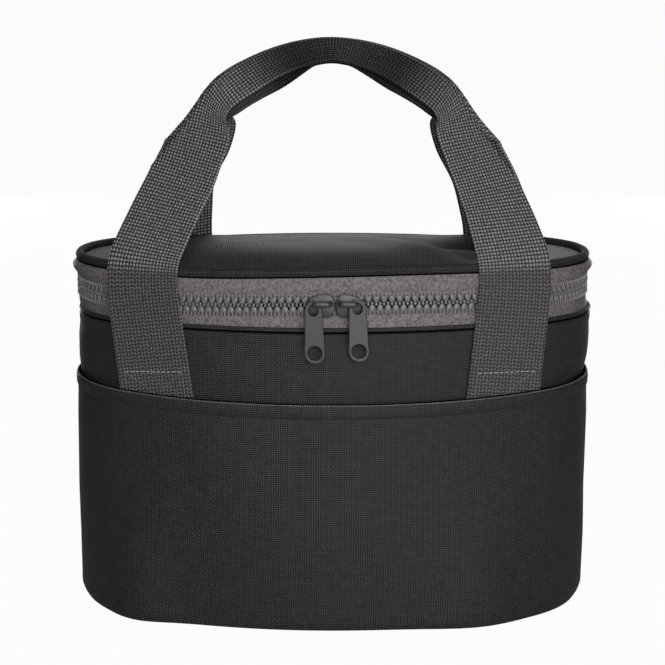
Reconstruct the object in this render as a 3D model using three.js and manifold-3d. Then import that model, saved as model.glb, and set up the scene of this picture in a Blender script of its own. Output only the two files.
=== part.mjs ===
// Insulated lunch bag: an oval soft-walled bag with a zipped lid on a fabric hinge, a front slip
// pocket and two webbing handles. Millimetres, +Z up, front towards -Y, origin at the middle of
// the underside.
import * as THREE from "three";
import { mergeVertices } from "three/addons/utils/BufferGeometryUtils.js";
import Module from "manifold-3d";

// Footprint: an oval of four tangent arcs, measured on the outside of the body.
const HALF_WIDTH = 128.5;
const HALF_DEPTH = 79;
const FRONT_RADIUS = 193;
const BASE_EDGE = 4; // rounding between the walls and the base

// Heights of the body, the zip band and the lid, from the floor up.
const BODY_HEIGHT = 151;
const SEAM = 5; // depth of the seam at the body's rim
const LOWER_TAPE_SHOW = 5.7;
const UPPER_TAPE_SHOW = 6.1;
const CHAIN_HALF = 5.6; // from the line between the tooth rows to the edge of each tape
const LID_DOME = 8;
const LID_CROWN = 20; // how far in front of the middle the lid is highest
const LID_FULLNESS = 3; // power of the dome: higher is steeper at the edge and flatter on top

// Layers of the wall and the clearance that sewn layers keep.
const SHELL_T = 1;
const FOAM_T = 5;
const LINER_T = 0.8;
const TAPE_T = 0.8;
const LID_PANEL_T = 1.2;
const LID_FOAM_T = 4;
const GAP = 0.3;

// Front pocket, which covers the ends of the front straps, and its hem.
const POCKET_T = 1;
const POCKET_ROOM = 1.1; // between the pocket and the strap ends under it
const POCKET_HEM = 115.5;
const POCKET_HEM_RISE = 3; // the hem is higher at the side seams
const POCKET_SLOPE = 70; // height over which the pocket leaves the panel

// Zip.
const HINGE_HALF = 71.5; // half the stretch round the back that has no zip
const HINGE_ROOM = 0.5; // from the hinge line to each strip
const TOOTH_PITCH = 3.66;
const TOOTH_GAP = 1.4; // channel between the tooth rows, where the slider's web runs
const TOOTH_TALL = 2.4;
const CHAIN_T = 2.6;
const BAND_SWELL = 0.3; // how far the upper tape swells in front
const BAND_SWELL_ENDS = 1.4; // and round the ends

// Lid edge.
const PIPING_RADIUS = 2;
const PIPING_INSET = 2.7;
const BINDING_T = 1.2;

// Webbing handles.
const WEB_WIDTH = 40;
const WEB_T = 1.8;
const STRAP_ALONG = 89; // along the wall from the middle of the front to each strap's stitch
const STRAP_SPLAY = 5.5; // how far the strap leans out from the stitch line to the lid
const STITCH_Z = 127;
const STRAP_TAIL = 27; // sewn length below the stitch line
const STRAP_CLEAR = 0.8; // room between the strap and the zip band
const STRAP_BEND = 5; // how far below the piping the strap starts to bend over it
const HANDLE_LEAN = THREE.MathUtils.degToRad(26);
const HANDLE_RISE = 113; // from the lid's edge to the middle of the grip, along the lean
const HANDLE_SHOULDER_X = 56;
const HANDLE_SHOULDER_RISE = 86;
const HANDLE_CROWN_X = 46;
const GRIP_ROLL = THREE.MathUtils.degToRad(50); // how far the grip faces upwards at its middle
const GRIP_HEIGHT = 17.5; // the webbing folded in half
const GRIP_T = 4;
// Shares of the half arch between which the webbing folds, and where it has lost its twist.
const FOLD_FROM = 0.22;
const FOLD_TO = 0.52;
const UNTWIST_TO = 0.6;

// Sliders and their pull tabs.
const SLIDER_LENGTH = 13.4;
const SLIDER_TAIL_HEIGHT = 8.4;
const SLIDER_CORNER = 2.2;
const SLIDER_FRONT_T = 1.7;
const SLIDER_BACK_T = 1.4;
const SLIDER_CLEAR = 0.4;
const SLIDER_SPACING = 0.6; // between the two noses
const SLIDERS_MEET = 2; // to the right of the middle of the front
const WEB_BAR_T = 0.8;
const WEB_BAR_LENGTH = 4;
const BRIDGE_RADIUS = 1;
const BRIDGE_BAR_T = 1.4;
const BRIDGE_REACH = 9.2; // along the slider, over both feet
const BRIDGE_INSET = 1.5; // from the slider's nose to the bridge
const TAB_STANDOFF = 2.4; // from the slider's front plate
const TAB_ROOM = 0.6; // between the tab and the bridge's bar
const TAB_LENGTH = 30;
const TAB_TOP_WIDTH = 8;
const TAB_BOTTOM_WIDTH = 9.8;
const TAB_T = 1.4;
const TAB_EYE_RADIUS = 2.6;
const TAB_HOLE_RADIUS = 3.9;
const TAB_RIM = 1.6;

// Facets: how finely the round stretches are cut.
const FRONT_FACETS = 7; // from the middle of the front to the first tangent point
const END_FACETS = 13;
const EDGE_FACETS = 3;
const PIPING_SIDES = 8;
const LEG_STEPS = 4;
const ARCH_STEPS = 16;
const ARCH_NEAR = 0.01; // share of the arch over which its direction is taken
const FOOT_SIDES = 10;
const CORNER_SEGMENTS = 3;
const HOLE_SEGMENTS = 7;
const DOME_SHARES = [0.93, 0.8, 0.6, 0.35];

// Sizes that follow from the ones above.
const endRadius = (2 * FRONT_RADIUS * HALF_DEPTH - HALF_WIDTH ** 2 - HALF_DEPTH ** 2)
  / (2 * (FRONT_RADIUS - HALF_WIDTH));
const endCentre = HALF_WIDTH - endRadius;
const frontCentre = FRONT_RADIUS - HALF_DEPTH;
const turnHeading = Math.atan2(endCentre, frontCentre);
const frontArc = FRONT_RADIUS * turnHeading;
const endArc = endRadius * (Math.PI - 2 * turnHeading);
const sideSeam = frontArc + endArc / 2;

const seamZ = BODY_HEIGHT - SEAM;
const tapeTopZ = BODY_HEIGHT + LOWER_TAPE_SHOW;
const zipZ = tapeTopZ + CHAIN_HALF;
const upperTapeZ = zipZ + CHAIN_HALF;
const lidSeamZ = upperTapeZ + UPPER_TAPE_SHOW;
const pipingZ = lidSeamZ + GAP + PIPING_RADIUS;

const tapeOut = -(SHELL_T + GAP);
const tapeIn = tapeOut - TAPE_T;
const chainMiddle = (tapeOut + tapeIn) / 2;
const foamIn = tapeOut - FOAM_T;
const linerOut = foamIn - GAP;
const linerIn = linerOut - LINER_T;
const bindingOut = tapeIn - GAP;
const lidFillOut = bindingOut - BINDING_T - GAP;
const lidPanelOut = -(PIPING_INSET + PIPING_RADIUS + GAP);
const zipEnd = headingAt(2 * frontArc + endArc - HINGE_HALF);
const seamTurn = GAP / (2 * endRadius);
const zipTurn = GAP / (2 * FRONT_RADIUS);

const wasm = await Module();
wasm.setup();

// The point of the oval whose outward normal has this heading (0 is the front, positive to the
// right), moved out by a distance.
function ovalPoint(heading, out, z) {
  const turned = Math.atan2(Math.sin(heading), Math.cos(heading));
  const onFront = Math.abs(turned) < turnHeading;
  const onBack = Math.abs(turned) > Math.PI - turnHeading;
  const radius = onFront || onBack ? FRONT_RADIUS : endRadius;
  let centre = new THREE.Vector2(Math.sign(turned) * endCentre, 0);
  if (onFront) centre = new THREE.Vector2(0, frontCentre);
  if (onBack) centre = new THREE.Vector2(0, -frontCentre);
  return new THREE.Vector3(
    centre.x + (radius + out) * Math.sin(heading),
    centre.y - (radius + out) * Math.cos(heading),
    z,
  );
}

// The heading at a length along the oval from the middle of the front.
function headingAt(length) {
  const along = Math.abs(length);
  let heading = along / FRONT_RADIUS;
  if (along > frontArc) heading = turnHeading + (along - frontArc) / endRadius;
  if (along > frontArc + endArc) {
    heading = Math.PI - turnHeading + (along - frontArc - endArc) / FRONT_RADIUS;
  }
  return Math.sign(length) * heading;
}

// The length along the oval from the middle of the front to a heading.
function lengthAt(heading) {
  const turn = Math.abs(heading);
  let length = turn * FRONT_RADIUS;
  if (turn > turnHeading) length = frontArc + (turn - turnHeading) * endRadius;
  if (turn > Math.PI - turnHeading) {
    length = frontArc + endArc + (turn - Math.PI + turnHeading) * FRONT_RADIUS;
  }
  return Math.sign(heading) * length;
}

// The headings where every layer is faceted, over one turn from the middle of the back.
const facetHeadings = [
  [-Math.PI, turnHeading - Math.PI, FRONT_FACETS],
  [turnHeading - Math.PI, -turnHeading, END_FACETS],
  [-turnHeading, turnHeading, 2 * FRONT_FACETS],
  [turnHeading, Math.PI - turnHeading, END_FACETS],
  [Math.PI - turnHeading, Math.PI, FRONT_FACETS],
].flatMap(([from, to, facets]) =>
  Array.from({ length: facets }, (_, i) => from + ((to - from) * i) / facets),
);

// The facet headings from one heading to another, with both ends.
function headingsBetween(from, to) {
  const least = seamTurn;
  const turns = [...facetHeadings, ...facetHeadings.map((heading) => heading + 2 * Math.PI)];
  const inside = turns.filter((heading) => heading > from + least && heading < to - least);
  return [from, ...inside, to];
}

// A closed mesh from its corners and triangles, with its faces turned outwards.
function solid(corners, triangles) {
  let volume = 0;
  for (const [a, b, c] of triangles) {
    volume += corners[a].dot(new THREE.Vector3().crossVectors(corners[b], corners[c]));
  }
  const turned = volume < 0 ? triangles.map(([a, b, c]) => [a, c, b]) : triangles;
  const geometry = new THREE.BufferGeometry().setFromPoints(corners);
  geometry.setIndex(turned.flat());
  geometry.computeVertexNormals();
  return geometry;
}

// The triangles that close an outline of flat points, in the outline's own direction.
function capTriangles(outline) {
  const flat = outline.map(([u, v]) => new THREE.Vector2(u, v));
  const direction = Math.sign(THREE.ShapeUtils.area(flat));
  return THREE.ShapeUtils.triangulateShape(flat, []).map(([a, b, c]) => {
    const sense = Math.sign(THREE.ShapeUtils.area([flat[a], flat[b], flat[c]]));
    return sense === direction ? [a, b, c] : [a, c, b];
  });
}

// A skin over rings with the same number of points, either joined in a loop or capped.
function skin(rings, caps) {
  const count = rings[0].length;
  const triangles = [];
  const spans = caps ? rings.length - 1 : rings.length;
  for (let i = 0; i < spans; i++) {
    const here = i * count;
    const there = ((i + 1) % rings.length) * count;
    for (let j = 0; j < count; j++) {
      const next = (j + 1) % count;
      triangles.push([here + j, here + next, there + next], [here + j, there + next, there + j]);
    }
  }
  if (caps) {
    const last = (rings.length - 1) * count;
    triangles.push(...capTriangles(caps[0]).map(([a, b, c]) => [a, c, b]));
    triangles.push(...capTriangles(caps[1]).map(([a, b, c]) => [last + a, last + b, last + c]));
  }
  return solid(rings.flat(), triangles);
}

// A profile of [out, z] points carried round the oval, or along a part of it.
function sweep(headings, profileAt, loop = false) {
  const profiles = headings.map(profileAt);
  const rings = profiles.map((profile, i) =>
    profile.map(([out, z]) => ovalPoint(headings[i], out, z)),
  );
  return skin(rings, loop ? null : [profiles[0], profiles.at(-1)]);
}

function box(outLow, outHigh, low, high) {
  return () => [[outLow, low], [outHigh, low], [outHigh, high], [outLow, high]];
}

// A solid of oval rows from the middle of the underside, over the rim, to the crown of the top.
// Each row is [share of the way from the crown to the rim, out, z].
function ovalStack(rows, crown = 0) {
  const middle = new THREE.Vector3(0, -crown, 0);
  const corners = [middle.clone().setZ(rows[0][2])];
  const triangles = [];
  const count = facetHeadings.length;
  const rims = rows.slice(1, -1);
  rims.forEach(([share, out, z], i) => {
    const start = 1 + i * count;
    facetHeadings.forEach((heading, j) => {
      const point = middle.clone().lerp(ovalPoint(heading, out, 0), share);
      corners.push(point.setZ(z));
      const here = start + j;
      const next = start + ((j + 1) % count);
      if (i === 0) triangles.push([0, next, here]);
      else triangles.push([here - count, next - count, next], [here - count, next, here]);
    });
  });
  const top = corners.length;
  corners.push(middle.clone().setZ(rows.at(-1)[2]));
  const last = top - count;
  for (let j = 0; j < count; j++) {
    triangles.push([last + j, last + ((j + 1) % count), top]);
  }
  return solid(corners, triangles);
}

function ovalSlab(out, low, high) {
  return ovalStack([[0, out, low], [1, out, low], [1, out, high], [0, out, high]]);
}

function smoothstep(x, from, to) {
  return THREE.MathUtils.smoothstep(x, from, to);
}

const group = new THREE.Group();
group.name = "lunch_bag";

function addPiece(name, geometry, material, parent = group) {
  const mesh = new THREE.Mesh(geometry, material);
  mesh.name = name;
  parent.add(mesh);
  return mesh;
}

function finish(color, roughness, metalness = 0) {
  return new THREE.MeshStandardMaterial({ color, roughness, metalness });
}

const shellCloth = () => finish(0x17171a, 0.85);
const foamFill = () => finish(0xd9d9d4, 0.95);
const linerFilm = () => finish(0xb9bcc0, 0.35);
const tapeCloth = () => finish(0x77736f, 0.6);
const toothPlastic = () => finish(0x6c6670, 0.45);
const webbing = () => finish(0x3a3a3d, 0.75);
const sliderMetal = () => finish(0x5a5858, 0.4, 0.8);

// Outer walls: a front and a back panel that meet at the side seams and curl under the base.
function panelProfile() {
  const outer = [];
  const inner = [];
  for (let i = 0; i <= EDGE_FACETS; i++) {
    const turn = (Math.PI / 2) * (i / EDGE_FACETS);
    const away = 1 - Math.sin(turn);
    const up = 1 - Math.cos(turn);
    outer.push([-BASE_EDGE * away, BASE_EDGE * up]);
    const rest = BASE_EDGE - SHELL_T;
    inner.unshift([-SHELL_T - rest * away, SHELL_T + rest * up]);
  }
  return [...outer, [0, BODY_HEIGHT], [-SHELL_T, BODY_HEIGHT], ...inner];
}

const frontHalf = headingsBetween(seamTurn - Math.PI / 2, Math.PI / 2 - seamTurn);
const backHalf = headingsBetween(Math.PI / 2 + seamTurn, (3 * Math.PI) / 2 - seamTurn);
addPiece("outer_front_panel", sweep(frontHalf, panelProfile), shellCloth());
addPiece("outer_back_panel", sweep(backHalf, panelProfile), shellCloth());
addPiece("base_panel", ovalSlab(-BASE_EDGE - GAP, 0, SHELL_T), shellCloth());

// Insulation and liner.
const baseFoamZ = SHELL_T + GAP;
const baseLinerZ = baseFoamZ + FOAM_T + GAP;
const wallTop = seamZ - GAP;
addPiece("base_foam", ovalSlab(foamIn, baseFoamZ, baseFoamZ + FOAM_T), foamFill());
addPiece("base_liner", ovalSlab(linerIn - GAP, baseLinerZ, baseLinerZ + LINER_T), linerFilm());
addPiece(
  "wall_foam",
  sweep(facetHeadings, box(foamIn, tapeOut, BASE_EDGE, wallTop), true),
  foamFill(),
);
addPiece(
  "wall_liner",
  sweep(facetHeadings, box(linerIn, linerOut, baseLinerZ, wallTop), true),
  linerFilm(),
);
addPiece(
  "mouth_binding",
  sweep(facetHeadings, box(linerIn, bindingOut, seamZ, BODY_HEIGHT - GAP), true),
  shellCloth(),
);

// Front pocket: close to the panel along the base and the side seams, slack in the middle, where
// it clears the outer edges of the strap ends.
const strapShare = (STRAP_ALONG + WEB_WIDTH / 2) / sideSeam;
const pocketSlack = (WEB_T + GAP + POCKET_ROOM) / Math.cos((Math.PI / 2) * strapShare);

function pocketProfile(heading) {
  const share = Math.min(1, Math.abs(lengthAt(heading)) / sideSeam);
  const slack = pocketSlack * Math.cos((Math.PI / 2) * share);
  const hem = POCKET_HEM + POCKET_HEM_RISE * share ** 2;
  const foot = BASE_EDGE;
  const heights = [foot, foot + POCKET_SLOPE / 3, foot + POCKET_SLOPE, hem];
  const inner = heights.map((z) => {
    const climb = Math.sin((Math.PI / 2) * Math.min(1, (z - foot) / POCKET_SLOPE));
    return [GAP + slack * climb, z];
  });
  const outer = inner.map(([out, z]) => [out + POCKET_T, z]);
  return [...inner, ...outer.reverse()];
}
addPiece("front_pocket", sweep(frontHalf, pocketProfile), shellCloth());

// Zip tapes run round the front and both ends, and the hinge strips close the back.
const zipRun = headingsBetween(zipTurn - zipEnd, zipEnd - zipTurn);
const hingeRun = headingsBetween(zipEnd + zipTurn, 2 * Math.PI - zipEnd - zipTurn);

function upperTapeProfile(heading) {
  const ends = smoothstep(Math.abs(heading), turnHeading, Math.PI / 2);
  const rear = 1 - smoothstep(Math.abs(heading), Math.PI / 2, zipEnd);
  const swell = tapeOut + (BAND_SWELL - tapeOut + (BAND_SWELL_ENDS - BAND_SWELL) * ends) * rear;
  const middleZ = (upperTapeZ + lidSeamZ) / 2;
  return [
    [tapeIn, upperTapeZ],
    [tapeOut, upperTapeZ],
    [swell, middleZ],
    [tapeOut, lidSeamZ],
    [tapeIn, lidSeamZ],
    [swell - TAPE_T, middleZ],
  ];
}
addPiece("lower_zip_tape", sweep(zipRun, box(tapeIn, tapeOut, seamZ, tapeTopZ)), tapeCloth());
addPiece("upper_zip_tape", sweep(zipRun, upperTapeProfile), tapeCloth());
addPiece(
  "hinge_strip_lower",
  sweep(hingeRun, box(tapeIn, tapeOut, seamZ, zipZ - HINGE_ROOM)),
  shellCloth(),
);
addPiece(
  "hinge_strip_upper",
  sweep(hingeRun, box(tapeIn, tapeOut, zipZ + HINGE_ROOM, lidSeamZ)),
  shellCloth(),
);

// A row of teeth on its woven edge. Side is -1 for the row below the slider's web, 1 above.
function toothRow(side) {
  const tip = zipZ + (side * TOOTH_GAP) / 2;
  const root = tip + side * TOOTH_TALL;
  const edge = zipZ + side * (CHAIN_HALF - GAP);
  const teeth = Math.floor((lengthAt(zipEnd) - GAP) / TOOTH_PITCH);
  const shift = side > 0 ? 0.5 : 0;
  const headings = [];
  const profiles = [];
  for (let k = -2 * teeth + 1; k < 2 * teeth; k++) {
    const crest = k % 2 === 0 ? tip : root;
    headings.push(headingAt((k / 2 + shift) * TOOTH_PITCH));
    profiles.push(box(chainMiddle - CHAIN_T / 2, chainMiddle + CHAIN_T / 2, edge, crest)());
  }
  const rings = profiles.map((profile, i) => profile.map(([out, z]) => ovalPoint(headings[i], out, z)));
  return skin(rings, [profiles[0], profiles.at(-1)]);
}
addPiece("lower_zip_teeth", toothRow(-1), toothPlastic());
addPiece("upper_zip_teeth", toothRow(1), toothPlastic());

// Lid: a domed panel inside round piping, with foam, liner and a bound seam underneath.
const lidPanelZ = lidSeamZ + GAP;
const lidFoamTop = lidPanelZ - GAP;
const lidFoamZ = lidFoamTop - LID_FOAM_T;

function domeRows(out, edgeZ) {
  return DOME_SHARES.map((share) => [share, out, edgeZ + LID_DOME * (1 - share ** LID_FULLNESS)]);
}

function lidPanelRows() {
  const top = lidPanelZ + LID_PANEL_T;
  const under = domeRows(lidPanelOut, lidPanelZ).reverse();
  return [
    [0, lidPanelOut, lidPanelZ + LID_DOME],
    ...under,
    [1, lidPanelOut, lidPanelZ],
    [1, lidPanelOut, top],
    ...domeRows(lidPanelOut, top),
    [0, lidPanelOut, top + LID_DOME],
  ];
}

function lidFoamRows() {
  return [
    [0, lidFillOut, lidFoamZ],
    [1, lidFillOut, lidFoamZ],
    [1, lidFillOut, lidFoamTop - GAP],
    ...domeRows(lidPanelOut, lidFoamTop - GAP),
    [0, lidFillOut, lidFoamTop - GAP + LID_DOME],
  ];
}

function pipingProfile() {
  return Array.from({ length: PIPING_SIDES }, (_, i) => {
    const turn = (2 * Math.PI * (i + 0.5)) / PIPING_SIDES;
    return [-PIPING_INSET + PIPING_RADIUS * Math.cos(turn), pipingZ + PIPING_RADIUS * Math.sin(turn)];
  });
}
const lidLinerZ = lidFoamZ - GAP - LINER_T;
addPiece("lid_top_panel", ovalStack(lidPanelRows(), LID_CROWN), shellCloth());
addPiece("lid_piping", sweep(facetHeadings, pipingProfile, true), shellCloth());
addPiece("lid_foam", ovalStack(lidFoamRows(), LID_CROWN), foamFill());
addPiece("lid_liner", ovalSlab(lidFillOut, lidLinerZ, lidLinerZ + LINER_T), linerFilm());
addPiece(
  "lid_binding",
  sweep(facetHeadings, box(bindingOut - BINDING_T, bindingOut, lidLinerZ, lidSeamZ - 2 * GAP), true),
  shellCloth(),
);

// A flat band across its path: centre, unit vectors along its width and its thickness, and the
// two half sizes.
function bandRing({ centre, across, through, halfWidth, halfThick }) {
  return [[-1, -1], [1, -1], [1, 1], [-1, 1]].map(([u, v]) =>
    centre.clone().addScaledVector(across, u * halfWidth).addScaledVector(through, v * halfThick),
  );
}

function bandSkin(bands) {
  const capAt = ({ halfWidth, halfThick }) =>
    [[-1, -1], [1, -1], [1, 1], [-1, 1]].map(([u, v]) => [u * halfWidth, v * halfThick]);
  return skin(bands.map(bandRing), [capAt(bands[0]), capAt(bands.at(-1))]);
}

// A band across a path point, square to the path and facing as near as it can to a direction.
function bandAcross(point, along, facing, halfWidth, halfThick) {
  const tangent = along.clone().normalize();
  const across = new THREE.Vector3().crossVectors(tangent, facing).normalize();
  const through = new THREE.Vector3().crossVectors(across, tangent);
  return { centre: point, across, through, halfWidth, halfThick };
}

// The strap's middle line on the wall, for the strap at the right of the front.
function strapPoint(z) {
  const climb = (z - STITCH_Z) / (pipingZ - STITCH_Z);
  const heading = headingAt(STRAP_ALONG + STRAP_SPLAY * climb);
  const clear = THREE.MathUtils.lerp(GAP, STRAP_CLEAR, THREE.MathUtils.clamp(climb, 0, 1));
  const point = ovalPoint(heading, clear + WEB_T / 2, z);
  return { point, facing: new THREE.Vector3(Math.sin(heading), -Math.cos(heading), 0) };
}

function strapBand(z) {
  const { point, facing } = strapPoint(z);
  const along = strapPoint(z + WEB_T).point.sub(point);
  return bandAcross(point, along, facing, WEB_WIDTH / 2, WEB_T / 2);
}

// One point of the handle's arch at the right of the front: share 0 is at the lid's edge and 1 is
// the middle of the grip.
function archPoint(share) {
  const foot = strapPoint(pipingZ).point;
  const arch = new THREE.CubicBezierCurve(
    new THREE.Vector2(foot.x, 0),
    new THREE.Vector2(HANDLE_SHOULDER_X, HANDLE_SHOULDER_RISE),
    new THREE.Vector2(HANDLE_CROWN_X, HANDLE_RISE),
    new THREE.Vector2(0, HANDLE_RISE),
  );
  const flat = arch.getPoint(share);
  return new THREE.Vector3(
    flat.x,
    foot.y + flat.y * Math.sin(HANDLE_LEAN),
    foot.z + flat.y * Math.cos(HANDLE_LEAN),
  );
}

function archBand(share) {
  const point = archPoint(share);
  const ahead = archPoint(Math.min(1, share + ARCH_NEAR));
  const along = ahead.sub(archPoint(Math.max(0, share - ARCH_NEAR)));
  const wall = strapPoint(pipingZ).facing;
  const turned = wall.lerp(new THREE.Vector3(0, -1, 0), smoothstep(share, 0, UNTWIST_TO)).normalize();
  const roll = THREE.MathUtils.lerp(HANDLE_LEAN, GRIP_ROLL, smoothstep(share, FOLD_FROM, 1));
  const facing = turned.multiplyScalar(Math.cos(roll)).setZ(Math.sin(roll));
  const fold = smoothstep(share, FOLD_FROM, FOLD_TO);
  const halfWidth = THREE.MathUtils.lerp(WEB_WIDTH, GRIP_HEIGHT, fold) / 2;
  const halfThick = THREE.MathUtils.lerp(WEB_T, GRIP_T, fold) / 2;
  return bandAcross(point, along, facing, halfWidth, halfThick);
}

// The same band mirrored to the left (x) or the rear (y).
function mirrorBand(band, x, y) {
  const flip = new THREE.Vector3(x, y, 1);
  return {
    ...band,
    centre: band.centre.clone().multiply(flip),
    across: band.across.clone().multiply(flip),
    through: band.through.clone().multiply(flip),
  };
}

// Each handle is one length of webbing: up the right leg, along the grip and down the left leg.
function handleGeometry(y) {
  const right = [];
  const legFrom = STITCH_Z + GAP / 2;
  const legTo = pipingZ - STRAP_BEND;
  for (let i = 0; i <= LEG_STEPS; i++) {
    right.push(strapBand(THREE.MathUtils.lerp(legFrom, legTo, i / LEG_STEPS)));
  }
  for (let i = 0; i < ARCH_STEPS; i++) right.push(archBand(i / ARCH_STEPS));
  const left = right.map((band) => mirrorBand(band, -1, 1)).reverse();
  const bands = [...right, archBand(1), ...left].map((band) => mirrorBand(band, 1, y));
  return bandSkin(bands);
}

function strapTail(x, y) {
  const bands = [STITCH_Z - STRAP_TAIL, STITCH_Z - GAP / 2].map((z) => mirrorBand(strapBand(z), x, y));
  return bandSkin(bands);
}

for (const [end, y] of [["front", 1], ["rear", -1]]) {
  addPiece(`${end}_handle`, handleGeometry(y), webbing());
  for (const [side, x] of [["left", -1], ["right", 1]]) {
    addPiece(`${end}_${side}_strap_end`, strapTail(x, y), webbing());
  }
}

// Booleans.
function toManifold(geometry) {
  const bare = geometry.index ? geometry.toNonIndexed() : geometry.clone();
  for (const name of Object.keys(bare.attributes)) {
    if (name !== "position") bare.deleteAttribute(name);
  }
  const merged = mergeVertices(bare, 1e-4);
  return new wasm.Manifold(
    new wasm.Mesh({
      numProp: 3,
      vertProperties: new Float32Array(merged.attributes.position.array),
      triVerts: new Uint32Array(merged.index.array),
    }),
  );
}

function joined(geometries) {
  const mesh = geometries.map(toManifold).reduce((whole, next) => whole.add(next)).getMesh();
  const geometry = new THREE.BufferGeometry();
  geometry.setAttribute("position", new THREE.BufferAttribute(mesh.vertProperties, 3));
  geometry.setIndex(new THREE.BufferAttribute(mesh.triVerts, 1));
  geometry.computeVertexNormals();
  return geometry;
}

// Slider parts stand in a frame of their own: x along the zip towards the nose, y inwards and z up
// from the line between the tooth rows.
const sliderHeight = 2 * (CHAIN_HALF - GAP);
const plateFace = CHAIN_T / 2 + SLIDER_CLEAR;
const bridgeNose = SLIDER_LENGTH / 2 - BRIDGE_INSET - BRIDGE_RADIUS;
const bridgeTail = bridgeNose - BRIDGE_REACH + 2 * BRIDGE_RADIUS;
const bridgeRise = TAB_STANDOFF + TAB_T + TAB_ROOM;

// A plate with a blunt nose and a narrower tail.
function sliderOutline() {
  const nose = SLIDER_LENGTH / 2;
  const high = sliderHeight / 2;
  const low = SLIDER_TAIL_HEIGHT / 2;
  const corner = SLIDER_CORNER;
  const shape = new THREE.Shape();
  shape.moveTo(nose, -high + corner);
  shape.lineTo(nose, high - corner);
  shape.quadraticCurveTo(nose, high, nose - corner, high);
  shape.lineTo(-nose + corner, low);
  shape.quadraticCurveTo(-nose, low, -nose, low - corner);
  shape.lineTo(-nose, -low + corner);
  shape.quadraticCurveTo(-nose, -low, -nose + corner, -low);
  shape.lineTo(nose - corner, -high);
  shape.quadraticCurveTo(nose, -high, nose, -high + corner);
  return shape;
}

// A flat plate in the x and z directions, from a depth outwards (towards -y).
function plate(shape, depth, thick, curveSegments) {
  const geometry = new THREE.ExtrudeGeometry(shape, { depth: thick, bevelEnabled: false, curveSegments });
  return geometry.rotateX(Math.PI / 2).translate(0, depth, 0);
}

function sliderGeometry(toNose) {
  const bury = SLIDER_CLEAR / 2; // how far joined parts run into each other
  const front = plate(sliderOutline(), -plateFace, SLIDER_FRONT_T, CORNER_SEGMENTS);
  const back = plate(sliderOutline(), plateFace + SLIDER_BACK_T, SLIDER_BACK_T, CORNER_SEGMENTS);
  const web = new THREE.BoxGeometry(WEB_BAR_LENGTH, 2 * (plateFace + bury), WEB_BAR_T);
  web.translate(SLIDER_LENGTH / 2 - BRIDGE_INSET - WEB_BAR_LENGTH / 2, 0, 0);
  const footLength = bridgeRise + BRIDGE_BAR_T / 2 + bury;
  const feet = [bridgeTail, bridgeNose].map((x) => {
    const foot = new THREE.CylinderGeometry(BRIDGE_RADIUS, BRIDGE_RADIUS, footLength, FOOT_SIDES);
    return foot.translate(x, -plateFace - SLIDER_FRONT_T + bury - footLength / 2, 0);
  });
  const bar = new THREE.BoxGeometry(BRIDGE_REACH, BRIDGE_BAR_T, 2 * BRIDGE_RADIUS);
  bar.translate(
    (bridgeNose + bridgeTail) / 2,
    -plateFace - SLIDER_FRONT_T - bridgeRise - BRIDGE_BAR_T / 2,
    0,
  );
  const whole = joined([front, back, web, ...feet, bar]);
  return toNose > 0 ? whole : whole.rotateY(Math.PI);
}

// A pull tab that hangs from the slider's tail foot, in a frame at that foot.
function tabGeometry() {
  const eyeZ = -(TAB_EYE_RADIUS - BRIDGE_RADIUS - GAP);
  const top = eyeZ + TAB_EYE_RADIUS + TAB_RIM;
  const bottom = top - TAB_LENGTH;
  const wide = TAB_BOTTOM_WIDTH / 2;
  const slim = TAB_TOP_WIDTH / 2;
  const shape = new THREE.Shape();
  shape.moveTo(-wide, bottom + wide);
  shape.absarc(0, bottom + wide, wide, Math.PI, 2 * Math.PI, false);
  shape.lineTo(slim, top - slim);
  shape.absarc(0, top - slim, slim, 0, Math.PI, false);
  shape.closePath();
  const eye = new THREE.Path().absarc(0, eyeZ, TAB_EYE_RADIUS, 0, 2 * Math.PI, true);
  const hole = new THREE.Path().absarc(0, bottom + wide, TAB_HOLE_RADIUS, 0, 2 * Math.PI, true);
  shape.holes.push(eye, hole);
  return plate(shape, -plateFace - SLIDER_FRONT_T - TAB_STANDOFF, TAB_T, HOLE_SEGMENTS);
}

// The two sliders meet nose to nose in the middle of the front.
for (const [side, x] of [["left", -1], ["right", 1]]) {
  const away = (SLIDER_LENGTH + SLIDER_SPACING) / 2;
  const heading = headingAt(SLIDERS_MEET + x * away);
  const place = new THREE.Group();
  place.position.copy(ovalPoint(heading, chainMiddle, zipZ));
  place.rotation.z = heading;
  group.add(place);
  addPiece(`${side}_slider`, sliderGeometry(-x), sliderMetal(), place);
  const tab = addPiece(`${side}_pull_tab`, tabGeometry(), sliderMetal(), place);
  tab.position.x = -x * bridgeTail;
}

export default group;
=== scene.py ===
"""Dresses an oval insulated lunch bag: cloth, lining, zip, padded lid, webbing handles and stage.

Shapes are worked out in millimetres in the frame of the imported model: the front faces -Y, +X is to
the right, +Z is up, and the middle of the underside is the origin.
"""

import bpy
import numpy as np
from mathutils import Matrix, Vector


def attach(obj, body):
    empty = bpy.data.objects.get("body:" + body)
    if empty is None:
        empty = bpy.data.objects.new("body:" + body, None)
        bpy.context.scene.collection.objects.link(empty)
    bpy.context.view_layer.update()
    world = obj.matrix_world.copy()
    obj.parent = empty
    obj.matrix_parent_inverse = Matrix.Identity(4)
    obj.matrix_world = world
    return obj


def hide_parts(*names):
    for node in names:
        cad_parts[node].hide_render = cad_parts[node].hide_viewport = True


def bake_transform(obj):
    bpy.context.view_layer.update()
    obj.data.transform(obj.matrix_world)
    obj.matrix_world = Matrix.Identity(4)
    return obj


bl_info = {
    "name": "Insulated lunch bag",
    "version": (1, 0, 0),
    "blender": (4, 5, 0),
    "location": "View3D > Sidebar > Lunch bag",
    "description": "Dresses an oval insulated lunch bag with a zipped lid and two webbing handles",
    "category": "Add Mesh",
}

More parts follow.
